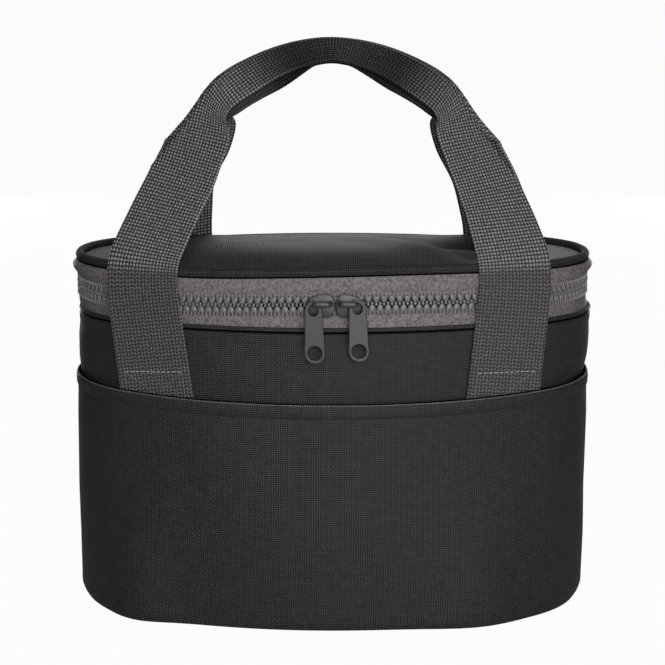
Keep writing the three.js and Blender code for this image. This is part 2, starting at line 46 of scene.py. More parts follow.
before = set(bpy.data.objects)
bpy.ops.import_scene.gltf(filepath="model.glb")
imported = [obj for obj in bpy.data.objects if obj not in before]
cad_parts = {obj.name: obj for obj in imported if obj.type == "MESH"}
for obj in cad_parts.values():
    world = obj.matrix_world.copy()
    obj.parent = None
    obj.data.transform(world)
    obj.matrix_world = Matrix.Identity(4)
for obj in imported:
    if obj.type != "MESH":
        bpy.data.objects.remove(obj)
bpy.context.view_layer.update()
MM = 0.001

# The oval of the bag: two long arcs, front and back, and two end arcs that touch them.
HALF_WIDTH = 128.5
HALF_DEPTH = 79.0
FRONT_RADIUS = 193.0
FRONT_CENTRE = FRONT_RADIUS - HALF_DEPTH
END_RADIUS = (FRONT_RADIUS**2 - HALF_WIDTH**2 - FRONT_CENTRE**2) / (2 * (FRONT_RADIUS - HALF_WIDTH))
END_CENTRE = HALF_WIDTH - END_RADIUS
TURN = np.arctan2(END_CENTRE, FRONT_CENTRE)
FRONT_ARC = FRONT_RADIUS * TURN
END_ARC = END_RADIUS * (np.pi - 2 * TURN)
HALF_LAP = 2 * FRONT_ARC + END_ARC
SIDE_SEAM = HALF_LAP / 2
ARC_LENGTHS = np.array([0.0, FRONT_ARC, FRONT_ARC + END_ARC, HALF_LAP])
ARC_HEADINGS = np.array([0.0, TURN, np.pi - TURN, np.pi])

# Rounding of the edge at the base, heights of the sewn lines, and the hem's rise to the sides.
BASE_EDGE = 4.0
RIM_Z = 150.4
SEAM_Z = 146.0
ZIP_Z = 162.3
LID_SEAM_Z = 174.0
PIPING_Z = 176.3
HEM_Z = 113.8
HEM_RISE = 5.0

# Thicknesses of cloth, the space between two layers, and the space between two panels at a seam.
SHELL_T = 1.0
TAPE_T = 0.8
GAP = 0.3
SEAM_GAP = 0.2

# Distances from the oval, outwards.
TAPE_OUT = -1.3
CHAIN_OUT = -1.7
LINING_IN = -7.4
PIPING_OUT = -2.7
LID_LINING_OUT = -4.0

# Length of a surface's steps round the oval, and of finer ones.
STEP = 3.0
FINE_STEP = 2.5

# How uneven the sewn cloths are.
WALL_RIPPLE = 0.7
POCKET_RIPPLE = 0.5
LINING_RIPPLE = 0.9
LID_RIPPLE = 0.25

# The pocket: how far it hangs off the wall, the height over which it gets there, and its stitches.
POCKET_SLACK = 6.2
POCKET_SLOPE = 70.0
HEM_STITCH_LENGTH = 1.9
HEM_STITCH_PITCH = 2.6
HEM_STITCH_RADIUS = 0.2

# The zip.
HINGE_HALF = 71.5
TOOTH_PITCH = 3.84
TOOTH_ROOT = 3.5
ZIP_RUN = HALF_LAP - HINGE_HALF
SLIDERS_MEET = 1.3
SLIDER_OFFSET = 7.0
SLIDER_HALF = 6.7
LOWER_TAPE_WIDTH = 12.8
UPPER_TAPE_WIDTH = 10.0

# The strip of cloth behind: where the lid's edge changes ahead of it, its flat height, and the place
# and heights of its bend.
REAR_START = HALF_LAP - 105.0
REAR_FULL = HALF_LAP - 70.0
HINGE_Y = 77.3
HINGE_BEND = (ZIP_Z - 5.0, ZIP_Z + 5.0)

# The straps.
WEB_WIDTH = 40.0
WEB_T = 1.8
STRAP_ALONG = 89.0
STRAP_SPLAY = 5.5
STITCH_Z = 127.0
STRAP_END_Z = 100.0
STRAP_TOP_Z = 172.0
HALF_WEB = WEB_WIDTH / 2
HANDLE_LEAN = np.radians(26)
# Place and heights of the bend at which a handle falls.
STRAP_FOLD_Y = 69.5
STRAP_BEND = (STITCH_Z - 6.0, STITCH_Z + 8.0)
# Middle of the right half of a handle in the plane that leans over the lid: across and up, in mm.
HANDLE_LINE = (
    (80, 34), (70, 54), (62.5, 68), (58.3, 79), (56, 87),
    (48.5, 93.8), (36, 102.5), (24, 108.8), (12, 113.0), (0, 114.4),
)
# Shares of the way from the lid to the middle of the grip.
CREASE = 0.6
FOLD_END = 0.62
# How far the grip's face looks up from the front, from the crease to the middle, in degrees.
GRIP_ROLL = (44, 54, 62)

# Share of its size at which the first and last ring of a stack close in the middle.
CLOSED = 0.01


def smoothstep(x, start, end):
    """0 before start, 1 after end, and 3s^2 - 2s^3 of the share s between them."""
    share = np.clip((np.asarray(x, float) - start) / (end - start), 0, 1)
    return share * share * (3 - 2 * share)


def plateau(x, start, full, fading, end):
    """0 before start and after end, 1 from full to fading, and smooth steps between them."""
    return smoothstep(x, start, full) * (1 - smoothstep(x, fading, end))


def mix(low, high, share):
    """Value at a share of the way: low + (high - low) * share."""
    return low + (high - low) * share


def heading_at(length):
    """Heading of the outward normal at a length along the oval from the middle of the front."""
    laps = np.round(np.asarray(length) / (2 * HALF_LAP))
    rest = length - 2 * HALF_LAP * laps
    return np.sign(rest) * np.interp(np.abs(rest), ARC_LENGTHS, ARC_HEADINGS) + 2 * np.pi * laps


def length_at(heading):
    """Length along the oval from the middle of the front to a heading."""
    laps = np.round(np.asarray(heading) / (2 * np.pi))
    rest = heading - 2 * np.pi * laps
    return np.sign(rest) * np.interp(np.abs(rest), ARC_HEADINGS, ARC_LENGTHS) + 2 * HALF_LAP * laps


def from_front(length):
    """Shorter way round from the middle of the front to a length along the oval, without a sign."""
    return np.abs(length - 2 * HALF_LAP * np.round(length / (2 * HALF_LAP)))


def oval(heading, out, z):
    """Point of the oval at a heading, moved outwards: centre of its arc + (radius + out) * normal."""
    heading, out, z = np.broadcast_arrays(heading, out, z)
    turned = np.arctan2(np.sin(heading), np.cos(heading))
    front = np.abs(turned) < TURN
    back = np.abs(turned) > np.pi - TURN
    radius = np.where(front | back, FRONT_RADIUS, END_RADIUS) + out
    x = np.where(front | back, 0.0, np.sign(turned) * END_CENTRE) + radius * np.sin(turned)
    y = np.where(front, FRONT_CENTRE, np.where(back, -FRONT_CENTRE, 0.0)) - radius * np.cos(turned)
    return np.stack([x, y, z], axis=-1)


def normal_at(heading):
    """Outward normal of the oval at a heading."""
    return np.stack([np.sin(heading), -np.cos(heading), np.zeros_like(heading)], axis=-1)


def unit(vectors):
    """Each vector divided by its own length."""
    return vectors / np.linalg.norm(vectors, axis=-1, keepdims=True)


def bell(x, middle, width):
    """exp(-((x - middle) / width)^2)."""
    return np.exp(-(((x - middle) / width) ** 2))


def bells(x, rows):
    """Sum of bells, each given by its height, middle and width."""
    return sum(height * bell(x, middle, width) for height, middle, width in rows)


def at_ends(headings):
    """1 on the two ends of the oval and 0 in front and behind."""
    turn = np.abs(np.arctan2(np.sin(headings), np.cos(headings)))
    return plateau(turn, TURN, 1.3, 1.9, 2.4)


def at_rear(along):
    """1 behind, where the lid is hinged, and 0 in front of it."""
    return smoothstep(from_front(along), REAR_START, REAR_FULL)


def headings_between(start, end, step=STEP):
    """Headings about step millimetres apart between two lengths along the oval."""
    count = int(np.ceil((end - start) / step)) + 1
    return heading_at(np.linspace(start, end, count))


def run_along(path):
    """Distance run from the first point of a path to each of its points."""
    return np.concatenate([[0], np.cumsum(np.linalg.norm(np.diff(path, axis=0), axis=1))])


def along_path(places, marks, path):
    """Points of a path at places between the marks of its own points."""
    return np.stack([np.interp(places, marks, column) for column in path.T], axis=-1)


def there_and_back(up, down):
    """Rows of one face, followed by the other face's in reverse, as a closed profile."""
    return np.concatenate([up, down[:, ::-1]], axis=1)


def uv_grid(rows, columns):
    """UV pairs of each row's mark with each column's."""
    return np.stack(np.meshgrid(rows, columns, indexing="ij"), axis=-1)


class Surface:
    """Points, four-sided faces over them, and a UV pair in millimetres for every face corner."""

    def __init__(self, points, faces, uv):
        self.points = points
        self.faces = faces
        self.uv = uv

    def volume(self):
        """Signed volume: a third of the sum of face areas times their distance from the origin."""
        a, b, c, d = (self.points[self.faces[:, k]] for k in range(4))
        return np.sum(a * np.cross(b, c) + a * np.cross(c, d)) / 6

    def outward(self):
        """The same closed surface with its faces turned outwards."""
        if self.volume() >= 0:
            return self
        return Surface(self.points, self.faces[:, ::-1], self.uv[:, ::-1])

    def copies(self, origins, axes):
        """One copy for each origin, with the columns of its axes as the copy's x, y and z."""
        count = len(self.points)
        points = origins[:, None, :] + np.einsum("kij,nj->kni", axes, self.points)
        shifts = np.arange(len(origins))[:, None, None] * count
        faces = (self.faces[None] + shifts).reshape(-1, 4)
        return Surface(points.reshape(-1, 3), faces, np.tile(self.uv, (len(origins), 1, 1)))


def gather(surfaces):
    """Several surfaces as one."""
    shifts = np.cumsum([0] + [len(s.points) for s in surfaces[:-1]])
    faces = np.concatenate([s.faces + shift for s, shift in zip(surfaces, shifts)])
    points = np.concatenate([s.points for s in surfaces])
    return Surface(points, faces, np.concatenate([s.uv for s in surfaces]))


def cells(grid):
    """The four corners of each cell of a grid, in order round the cell."""
    corners = [grid[:-1, :-1], grid[:-1, 1:], grid[1:, 1:], grid[1:, :-1]]
    return np.stack(corners, axis=2).reshape(-1, 4, *grid.shape[2:])


def net(points, uv, loop=False, capped=False):
    """Faces between neighbours in a grid whose rows are rings, and on to the first ring in a loop.

    A cap joins each point of an end ring to the one opposite it, so that it is made of quads too.
    The UV grid has one more column, and in a loop one more row.
    """
    rows, columns = points.shape[:2]
    index = np.arange(rows * columns).reshape(rows, columns)
    wide = np.concatenate([index, index[:, :1]], axis=1)
    faces = cells(np.concatenate([wide, wide[:1]]) if loop else wide)
    marks = cells(uv)
    if capped:
        near = np.arange(columns // 2 - 1)
        far = columns - 1 - near
        for row, turn in ((0, -1), (rows - 1, 1)):
            order = np.stack([near, near + 1, far - 1, far], axis=-1)[:, ::turn]
            faces = np.concatenate([faces, index[row][order]])
            marks = np.concatenate([marks, uv[row][order]])
    return Surface(points.reshape(-1, 3), faces, marks).outward()


def profile_marks(outs, heights):
    """Distance run along a closed profile, with its first point again at the end."""
    steps = np.hypot(np.diff(outs, append=outs[:1]), np.diff(heights, append=heights[:1]))
    return np.concatenate([[0.0], np.cumsum(steps)])


def swept(headings, outs, heights, loop=False):
    """A closed profile of outs and heights, one row for each heading, carried round the oval."""
    shape = (len(headings), np.shape(outs)[-1])
    outs, heights = np.broadcast_to(outs, shape), np.broadcast_to(heights, shape)
    points = oval(headings[:, None], outs, heights)
    along = length_at(headings)
    if loop:
        along = np.append(along, 2 * HALF_LAP + along[0])
    marks = profile_marks(outs[shape[0] // 2], heights[shape[0] // 2])
    return net(points, uv_grid(along, marks), loop=loop, capped=not loop)


def full_lap(step=STEP):
    """Headings once round the oval from the middle of the back, without the last."""
    return headings_between(-HALF_LAP, HALF_LAP, step)[:-1]


def oval_stack(shares, outs, heights, crown=(0.0, 0.0)):
    """Oval rings from the middle of the underside over the rim to the middle of the top.

    A ring is the oval moved out and drawn towards the crown: crown + share * (oval - crown).
    Outs and heights are one for each ring, or one for each ring and heading.
    """
    headings = full_lap()
    outs = np.asarray(outs, float)
    rings = oval(headings[None, :], outs if outs.ndim == 2 else outs[:, None], 0.0)
    middle = np.array([crown[0], crown[1], 0.0])
    points = middle + np.asarray(shares)[:, None, None] * (rings - middle)
    heights = np.asarray(heights, float)
    points[..., 2] = heights if heights.ndim == 2 else heights[:, None]
    flat = np.concatenate([points, points[:, :1]], axis=1)[..., :2]
    return net(points, flat, capped=True)


def rounded_profile(out_low, out_high, low, high, radius, steps=4):
    """Outs and heights of a rectangle with its four corners rounded by quarter circles."""
    turn = np.linspace(0, np.pi / 2, steps)
    corners = [(out_high, high, 0), (out_low, high, 1), (out_low, low, 2), (out_high, low, 3)]
    outs, heights = [], []
    for out, z, quarter in corners:
        inward_out = out - radius if out == out_high else out + radius
        inward_z = z - radius if z == high else z + radius
        outs.append(inward_out + radius * np.cos(turn + quarter * np.pi / 2))
        heights.append(inward_z + radius * np.sin(turn + quarter * np.pi / 2))
    return np.concatenate(outs), np.concatenate(heights)


def bound_seam(inner, outer, low, high, radius):
    """A bound seam round the oval: a rounded rectangle between two distances and two heights."""
    return swept(full_lap(), *rounded_profile(inner, outer, low, high, radius), loop=True)


def ripple(along, up):
    """Slow unevenness of sewn cloth from 0 to 1: three crossed sine waves, 50 to 180 mm long."""
    waves = np.sin(along / 13 + up / 21 + 0.7) + 0.7 * np.sin(along / 29 - up / 17 + 2.1)
    return 0.5 + (waves + 0.5 * np.sin(along / 8.2 + up / 34 + 4.0)) / 4.4


def tube(path, radius, sides=8, flat=1.0, facing=(0, 0, 1)):
    """A capped tube along a path; flat squeezes it towards the facing direction."""
    along = unit(np.gradient(path, axis=0))
    side = unit(np.cross(along, np.broadcast_to(facing, along.shape)))
    up = np.cross(side, along)
    turn = np.linspace(0, 2 * np.pi, sides, endpoint=False) + np.pi / sides
    radius = np.broadcast_to(radius, len(path))[:, None, None]
    ring = side[:, None] * np.cos(turn)[:, None] + up[:, None] * np.sin(turn)[:, None] * flat
    round_marks = np.linspace(0, 2 * np.pi * float(radius.max()), sides + 1)
    return net(path[:, None] + radius * ring, uv_grid(run_along(path), round_marks), capped=True)


def stitch_run(path, facing, length, pitch, radius):
    """Thread dashes on a path: short pods whose ends dip into the cloth along -facing."""
    run = run_along(path)
    count = max(1, int(run[-1] / pitch))
    middles = (np.arange(count) + 0.5) * run[-1] / count
    before, at, after = (along_path(middles + shift, run, path) for shift in (-0.5, 0, 0.5))
    normals = along_path(middles, run, facing)
    x = unit(after - before)
    z = unit(normals - x * np.sum(normals * x, axis=-1, keepdims=True))
    share = np.array([-0.5, -0.3, 0.0, 0.3, 0.5])
    pod = np.stack([share * length, 0 * share, radius * (0.35 - 4.5 * share**2)], axis=-1)
    bead = tube(pod, radius * np.array([0.45, 0.9, 1.0, 0.9, 0.45]), sides=6)
    return bead.copies(at, np.stack([x, np.cross(z, x), z], axis=-1))


def dressed(name, mesh, finish, body, nodes, sharp):
    """An object that shows a mesh in its finish, smooth but for edges sharper than the given angle.

    Body is the body that it rides on. Given two bodies with the start and end of a bend between them,
    the piece is only fixed where it is, and nothing bends it.
    """
    mesh.shade_smooth()
    mesh.set_sharp_from_angle(angle=np.radians(sharp))
    mesh.materials.clear()
    mesh.materials.append(finish_of(finish))
    made = bpy.data.objects.new(name, mesh)
    bpy.context.scene.collection.objects.link(made)
    if isinstance(body, str):
        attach(made, body)
    else:
        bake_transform(made)
    if nodes:
        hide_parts(*nodes)
    return made


def piece(name, surfaces, finish, body, nodes=(), sharp=50):
    """A finished piece whose mesh, at the origin, is one surface or several as one."""
    surface = gather(surfaces) if isinstance(surfaces, list) else surfaces
    mesh = bpy.data.meshes.new(name)
    mesh.from_pydata((surface.points * MM).tolist(), [], surface.faces.tolist())
    mesh.uv_layers.new(name="cloth").data.foreach_set("uv", surface.uv.astype(np.float32).ravel())
    return dressed(name, mesh, finish, body, nodes, sharp)


class Nodes:
    """A node tree. Most methods add nodes and give back an output."""

    def __init__(self, tree):
        self.tree = tree

    def feed(self, value, socket):
        """Links an output to a socket, or puts a plain value on it."""
        if isinstance(value, bpy.types.NodeSocket):
            self.tree.links.new(value, socket)
        else:
            socket.default_value = value

    def node(self, kind, *values, **settings):
        """A node with its settings, and values or links on its first sockets."""
        made = self.tree.nodes.new(kind)
        for name, value in settings.items():
            setattr(made, name, value)
        for socket, value in zip(made.inputs, values):
            self.feed(value, socket)
        return made

    def math(self, operation, *values):
        """One step of arithmetic."""
        return self.node("ShaderNodeMath", *values, operation=operation).outputs[0]

    def ramp(self, value, start, end):
        """0 up to start, 1 from end on, and smooth between them."""
        made = self.node("ShaderNodeMapRange", value, start, end, interpolation_type="SMOOTHSTEP")
        return made.outputs[0]

    def seen_directly(self, mirrored_share):
        """1 for camera and glass rays, a share for mirror rays, and 0 for rays that light the object."""
        path = self.node("ShaderNodeLightPath").outputs
        mirror = self.math("MULTIPLY", path["Is Glossy Ray"], mirrored_share)
        seen = self.math("MAXIMUM", path["Is Camera Ray"], path["Is Transmission Ray"])
        return self.math("MAXIMUM", seen, mirror)


class Finish(Nodes):
    """One material's nodes, which end in its own shader."""

    def __init__(self, name, **sockets):
        self.material = bpy.data.materials.new(name)
        self.material.use_nodes = True
        super().__init__(self.material.node_tree)
        self.shader = self.tree.nodes["Principled BSDF"]
        self.set(**sockets)

    def set(self, **sockets):
        """Puts a value or a link on the shader's sockets, named with _ for a space."""
        for name, value in sockets.items():
            self.feed(value, self.shader.inputs[name.replace("_", " ")])

    def blend(self, share, low, high):
        """Colour at a share of the way from low to high."""
        made = self.node("ShaderNodeMix", data_type="RGBA")
        for index, value in ((0, share), (6, low), (7, high)):
            self.feed(value, made.inputs[index])
        return made.outputs[2]

    def cloth_marks(self):
        """The two UV values of the piece, in millimetres across and along."""
        marks = self.node("ShaderNodeUVMap", uv_map="cloth").outputs[0]
        split = self.node("ShaderNodeSeparateXYZ", marks)
        return split.outputs[0], split.outputs[1]

    def cloud(self, size, detail):
        """Soft noise on the object's own coordinates, with lumps of about size metres."""
        where = self.node("ShaderNodeTexCoord").outputs["Object"]
        made = self.node("ShaderNodeTexNoise", where)
        made.inputs["Scale"].default_value = 1 / size
        made.inputs["Detail"].default_value = detail
        return made.outputs["Fac"]

    def bump(self, height, depth, strength):
        """Roughens the shader's normal by a height from 0 to 1, over a depth in metres."""
        made = self.node("ShaderNodeBump")
        self.feed(height, made.inputs["Height"])
        made.inputs["Distance"].default_value = depth
        made.inputs["Strength"].default_value = strength
        self.set(Normal=made.outputs[0])


def tint(colour, share):
    """The colour made darker or lighter by a share."""
    return (*(min(1.0, channel * share) for channel in colour[:3]), 1.0)


def waves(finish, value, pitch):
    """sin(pi * value / pitch): it changes sign at each thread."""
    return finish.math("SINE", finish.math("MULTIPLY", value, np.pi / pitch))


def plain_weave(name, colour, **sockets):
    """Plain weave: crossed sine waves make a pillow at each thread crossing.

    Their product is positive where the upright thread lies on top, and those pillows are a little
    lighter. Soft noise makes some threads lighter than others.
    """
    finish = Finish(name, **sockets)
    u, v = finish.cloth_marks()
    across, along = waves(finish, u, size("thread_across")), waves(finish, v, size("thread_along"))
    product = finish.math("MULTIPLY", across, along)
    pillow = finish.math("ABSOLUTE", product)
    upright = finish.math("MULTIPLY_ADD", product, 0.2, 0.85)
    patches = finish.math("ADD", finish.cloud(0.004, 4.0), 0.5)
    share = finish.math("MULTIPLY", finish.math("MULTIPLY", pillow, upright), patches)
    finish.set(Base_Color=finish.blend(share, tint(colour, 0.1), tint(colour, 2.7)))
    finish.bump(pillow, 0.2 * MM, 0.8)
    return finish.material


# Distances from the middle of the grip, in mm: the middle of its painted shade, where that shade fades
# into the legs, and where the legs meet the wall, where their painted highlight ends.
GRIP_SHADE_MIDDLE = 9.0
GRIP_SHADE_FADES = (28.0, 72.0)
WALL_MEETS = (165.0, 171.0)
# The fold's line across the webbing, in mm: its slope and its place at the middle of the grip, and how
# far past it the folded half begins, which is painted dark as painted shade.
FOLD_SLOPE = 0.5
FOLD_START = -30.0
FOLD_PAST = (1.0, 4.0)


def webbing_weave(name, colour):
    """Webbing: in each column a slanted oval float on every row, leaning the other way next door.

    The second UV value is the distance from the middle of the grip. The floats are upright on the
    legs, where the webbing is drawn over the lid, and painted lightest there as a painted highlight.
    The grip and the half that is folded behind it are painted dark, as painted shade.
    """
    finish = Finish(name, Roughness=0.5, Specular_IOR_Level=0.15)
    u, v = finish.cloth_marks()
    from_grip = finish.math("ABSOLUTE", v)
    from_grip_shade = finish.math("ABSOLUTE", finish.math("SUBTRACT", v, GRIP_SHADE_MIDDLE))
    off_grip = finish.ramp(from_grip_shade, *GRIP_SHADE_FADES)
    on_wall = finish.ramp(from_grip, *WALL_MEETS)
    on_leg = finish.math("SUBTRACT", off_grip, on_wall)
    hinge = finish.math("MAXIMUM", finish.math("MULTIPLY_ADD", from_grip, FOLD_SLOPE, FOLD_START), 0.0)
    folded = finish.ramp(finish.math("SUBTRACT", u, hinge), *FOLD_PAST)
    columns = finish.math("DIVIDE", u, size("web_column"))
    side = finish.math("SUBTRACT", finish.math("FRACT", columns), 0.5)
    parity = finish.math("ABSOLUTE", finish.math("MODULO", finish.math("FLOOR", columns), 2.0))
    slant = finish.math("SUBTRACT", parity, 0.5)
    slant = finish.math("MULTIPLY", slant, finish.math("MULTIPLY_ADD", on_leg, -0.85, 1.0))
    rows = finish.math("MULTIPLY_ADD", side, slant, finish.math("DIVIDE", v, size("web_row")))
    step = finish.math("SUBTRACT", finish.math("FRACT", rows), 0.5)
    square = finish.math("MULTIPLY", side, side)
    square = finish.math("MULTIPLY_ADD", finish.math("MULTIPLY", step, step), 1.1, square)
    swell = finish.math("MAXIMUM", finish.math("MULTIPLY_ADD", square, -5.0, 1.0), 0.0)
    # Floats: a painted highlight on the legs, lighter than on the wall, and painted shade on the grip and
    # on the folded half.
    light = finish.blend(on_wall, tint(colour, 5.0), tint(colour, 2.4))
    light = finish.blend(off_grip, tint(colour, 0.55), light)
    light = finish.blend(folded, light, tint(colour, 0.4))
    # Gaps between the floats: painted shade on the grip.
    dark = finish.blend(off_grip, tint(colour, 0.15), tint(colour, 0.6))
    uneven = finish.math("MULTIPLY_ADD", finish.cloud(0.0016, 2.0), 2.2, -0.1)
    share = finish.math("MULTIPLY", finish.math("POWER", swell, 0.8), uneven)
    finish.set(Base_Color=finish.blend(share, dark, light))
    finish.bump(swell, 0.5 * MM, 0.7)
    return finish.material


def tape_weave(name, colour):
    """Zip tape: light dots in slanting rows, where the product of two crossed sine waves is high."""
    finish = Finish(name, Roughness=0.55, Specular_IOR_Level=0.2)
    u, v = finish.cloth_marks()
    product = finish.math("MULTIPLY", waves(finish, u, 0.62), waves(finish, v, 0.56))
    dots = finish.math("MULTIPLY_ADD", product, 0.5, 0.5)
    patches = finish.math("MULTIPLY_ADD", finish.cloud(0.0013, 2.0), 1.6, -0.8)
    share = finish.node("ShaderNodeMath", dots, patches, operation="ADD", use_clamp=True).outputs[0]
    finish.set(Base_Color=finish.blend(share, tint(colour, 0.25), tint(colour, 1.75)))
    finish.bump(dots, 0.12 * MM, 0.7)
    return finish.material


def speckled(name, colour, speck, spread, **sockets):
    """A moulded or painted finish: specks of a size in metres, lighter and darker by the spread."""
    finish = Finish(name, **sockets)
    specks = finish.cloud(speck, 4.0)
    finish.set(Base_Color=finish.blend(specks, tint(colour, 1 - spread), tint(colour, 1 + spread)))
    finish.bump(specks, speck * 0.05, 0.4)
    return finish.material


def crinkled_film(name, colour):
    """Lining film: pale, half glossy, with shallow creases a few centimetres long."""
    finish = Finish(name, Roughness=0.32, Metallic=0.25)
    creases = finish.cloud(0.02, 5.0)
    finish.set(Base_Color=finish.blend(creases, tint(colour, 0.9), tint(colour, 1.08)))
    finish.bump(creases, 0.9 * MM, 0.6)
    return finish.material


def twisted_thread(name, colour):
    """Sewing thread: slanted plies along each stitch."""
    finish = Finish(name, Roughness=0.6)
    u, v = finish.cloth_marks()
    ply = finish.math("ABSOLUTE", waves(finish, finish.math("ADD", u, v), 0.35))
    finish.set(Base_Color=finish.blend(ply, tint(colour, 0.6), tint(colour, 1.2)))
    return finish.material


def colour_property(name, description, default):
    """A colour of the sidebar."""
    return bpy.props.FloatVectorProperty(
        name=name, description=description, default=default, size=4, min=0, max=1, subtype="COLOR"
    )


def length_property(name, description, millimetres):
    """A length of the sidebar, kept in metres."""
    return bpy.props.FloatProperty(
        name=name, description=description, default=millimetres * MM, min=0, unit="LENGTH"
    )


class BagColours(bpy.types.PropertyGroup):
    """Colours of the bag's finishes."""

    shell: colour_property("Shell", "Woven cloth of the body, pocket and lid", (0.0245, 0.0245, 0.0255, 1))
    webbing: colour_property("Webbing", "Handles and strap ends", (0.062, 0.062, 0.06, 1))
    tape: colour_property("Zip tape", "Tapes of the zip", (0.148, 0.136, 0.133, 1))
    teeth: colour_property("Zip teeth", "Moulded teeth", (0.15, 0.138, 0.152, 1))
    metal: colour_property("Sliders", "Painted sliders and pull tabs", (0.052, 0.047, 0.048, 1))
    lining: colour_property("Lining", "Film inside the bag", (0.55, 0.56, 0.58, 1))
    thread: colour_property("Thread", "Stitches on the strap ends", (0.32, 0.32, 0.33, 1))
    floor: colour_property("Floor", "Floor under the bag", (0.5, 0.5, 0.5, 1))


class BagSizes(bpy.types.PropertyGroup):
    """Sizes of the bag's sewn details."""

    thread_across: length_property("Thread across", "Width of an upright thread of the shell", 1.1)
    thread_along: length_property("Thread along", "Width of a level thread of the shell", 0.95)
    web_column: length_property("Webbing column", "Width of one column of the webbing", 1.9)
    web_row: length_property("Webbing row", "Height of one row of the webbing", 1.76)
    hem_depth: length_property("Hem depth", "Pocket's edge to its line of stitches", 7.0)
    stitch_length: length_property("Stitch length", "Length of one visible stitch", 2.6)
    stitch_pitch: length_property("Stitch pitch", "Distance from one stitch to the next", 2.7)
    stitch_radius: length_property("Thread radius", "Half the thickness of the thread", 0.27)
    piping_radius: length_property("Piping radius", "Half the thickness of the lid's piping", 2.2)
    lid_height: length_property("Lid height", "Height of the padded lid over its edge", 11.0)


def colours():
    """The scene's own colours of the bag."""
    return bpy.context.scene.bag_colours


def size(name):
    """One of the sizes, in millimetres."""
    return getattr(bpy.context.scene.bag_sizes, name) / MM


# Finishes: maker, colour, how much lighter or darker than that, and what else the maker is told.
FINISHES = {
    "shell_weave": (plain_weave, "shell", 1.0, {"Roughness": 0.5, "Specular_IOR_Level": 0.19}),
    # The lid's copy of the shell cloth, 1.2 times lighter: painted light on the lid.
    "lid_weave": (plain_weave, "shell", 1.2, {"Roughness": 0.5, "Specular_IOR_Level": 0.28}),
    "piping_weave": (plain_weave, "shell", 1.25, {"Roughness": 0.6, "Specular_IOR_Level": 0.06}),
    # Near-black strips in creases and gaps, where there is only shade: painted shade.
    "seam_thread": (plain_weave, "shell", 0.12, {"Roughness": 0.9, "Specular_IOR_Level": 0.02}),
    # The hem's fold line: shell cloth five times lighter, a painted highlight.
    "worn_fold": (plain_weave, "shell", 5.0, {"Roughness": 0.6}),
    "webbing_weave": (webbing_weave, "webbing", 1.0, {}),
    "tape_weave": (tape_weave, "tape", 1.0, {}),
    "tooth_plastic": (speckled, "teeth", 1.0, {"speck": 0.002, "spread": 0.15, "Roughness": 0.38}),
    "painted_metal": (
        speckled, "metal", 1.0, {"speck": 0.0012, "spread": 0.1, "Roughness": 0.42, "Metallic": 0.3}
    ),
    "lining_film": (crinkled_film, "lining", 1.0, {}),
    # Knit loops in the tape's colour made 1.5 times lighter: a painted highlight.
    "knit_thread": (twisted_thread, "tape", 1.5, {}),
    # Strip behind the loops, the tape's colour made darker: painted shade.
    "knit_ground": (twisted_thread, "tape", 0.4, {}),
    "strap_thread": (twisted_thread, "thread", 1.0, {}),
    # Thread of the box and cross at 0.35 of the thread colour: darker thread.
    "worn_thread": (twisted_thread, "thread", 0.35, {}),
    "shell_thread": (twisted_thread, "shell", 1.3, {}),
}


def finish_of(name):
    """The material of this name, made the first time that a piece asks for it."""
    found = bpy.data.materials.get(name)
    if found:
        return found
    maker, colour, share, told = FINISHES[name]
    return maker(name, tint(getattr(colours(), colour), share), **told)


def clear_of_straps(along):
    """1 away from the strap ends and 0 under them, for lengths along the oval."""
    near = np.minimum(from_front(along), HALF_LAP - from_front(along))
    return smoothstep(np.abs(near - STRAP_ALONG - STRAP_SPLAY / 2), 25, 34)


# How far the left and right ends of the body are drawn in, in mm, at heights over the base, and how
# far that reaches round the side seams.
DRAWN_Z = (5, 35, 60, 100, 118, 128, 150)
DRAWN_LEFT = (-1.0, -1.4, -0.8, -1.0, -1.0, -1.0, -1.0)
DRAWN_RIGHT = (-2.2, -1.9, -2.2, -1.2, -1.2, 0.3, 1.5)
DRAWN_REACH = 45
# Where the body is fuller, as bells of height, middle and width, and the heights over which it fades.
BODY_FULL = ((7.0, 72, 27), (6.0, -98, 18))
BODY_FULL_Z = (4, 75)
# How much larger the rounded edge at the base is at the side seams, and how far round them.
FOOT_GROWTH = 1.8
FOOT_REACH = 42


def body_draw(along, z):
    """How far the body stands off the oval, in mm: a bell round each side seam, by height, and a
    fuller front low down at both sides of the middle."""
    place = (along + HALF_LAP) % (2 * HALF_LAP) - HALF_LAP
    left = np.interp(z, DRAWN_Z, DRAWN_LEFT) * bell(place, -SIDE_SEAM, DRAWN_REACH)
    right = np.interp(z, DRAWN_Z, DRAWN_RIGHT) * bell(place, SIDE_SEAM, DRAWN_REACH)
    return left + right + bells(place, BODY_FULL) * (1 - smoothstep(z, *BODY_FULL_Z))


def foot_radius(along):
    """Radius of the rounded edge at the base, in mm: larger at the side seams."""
    return BASE_EDGE * (1 + FOOT_GROWTH * bell(from_front(along), SIDE_SEAM, FOOT_REACH))


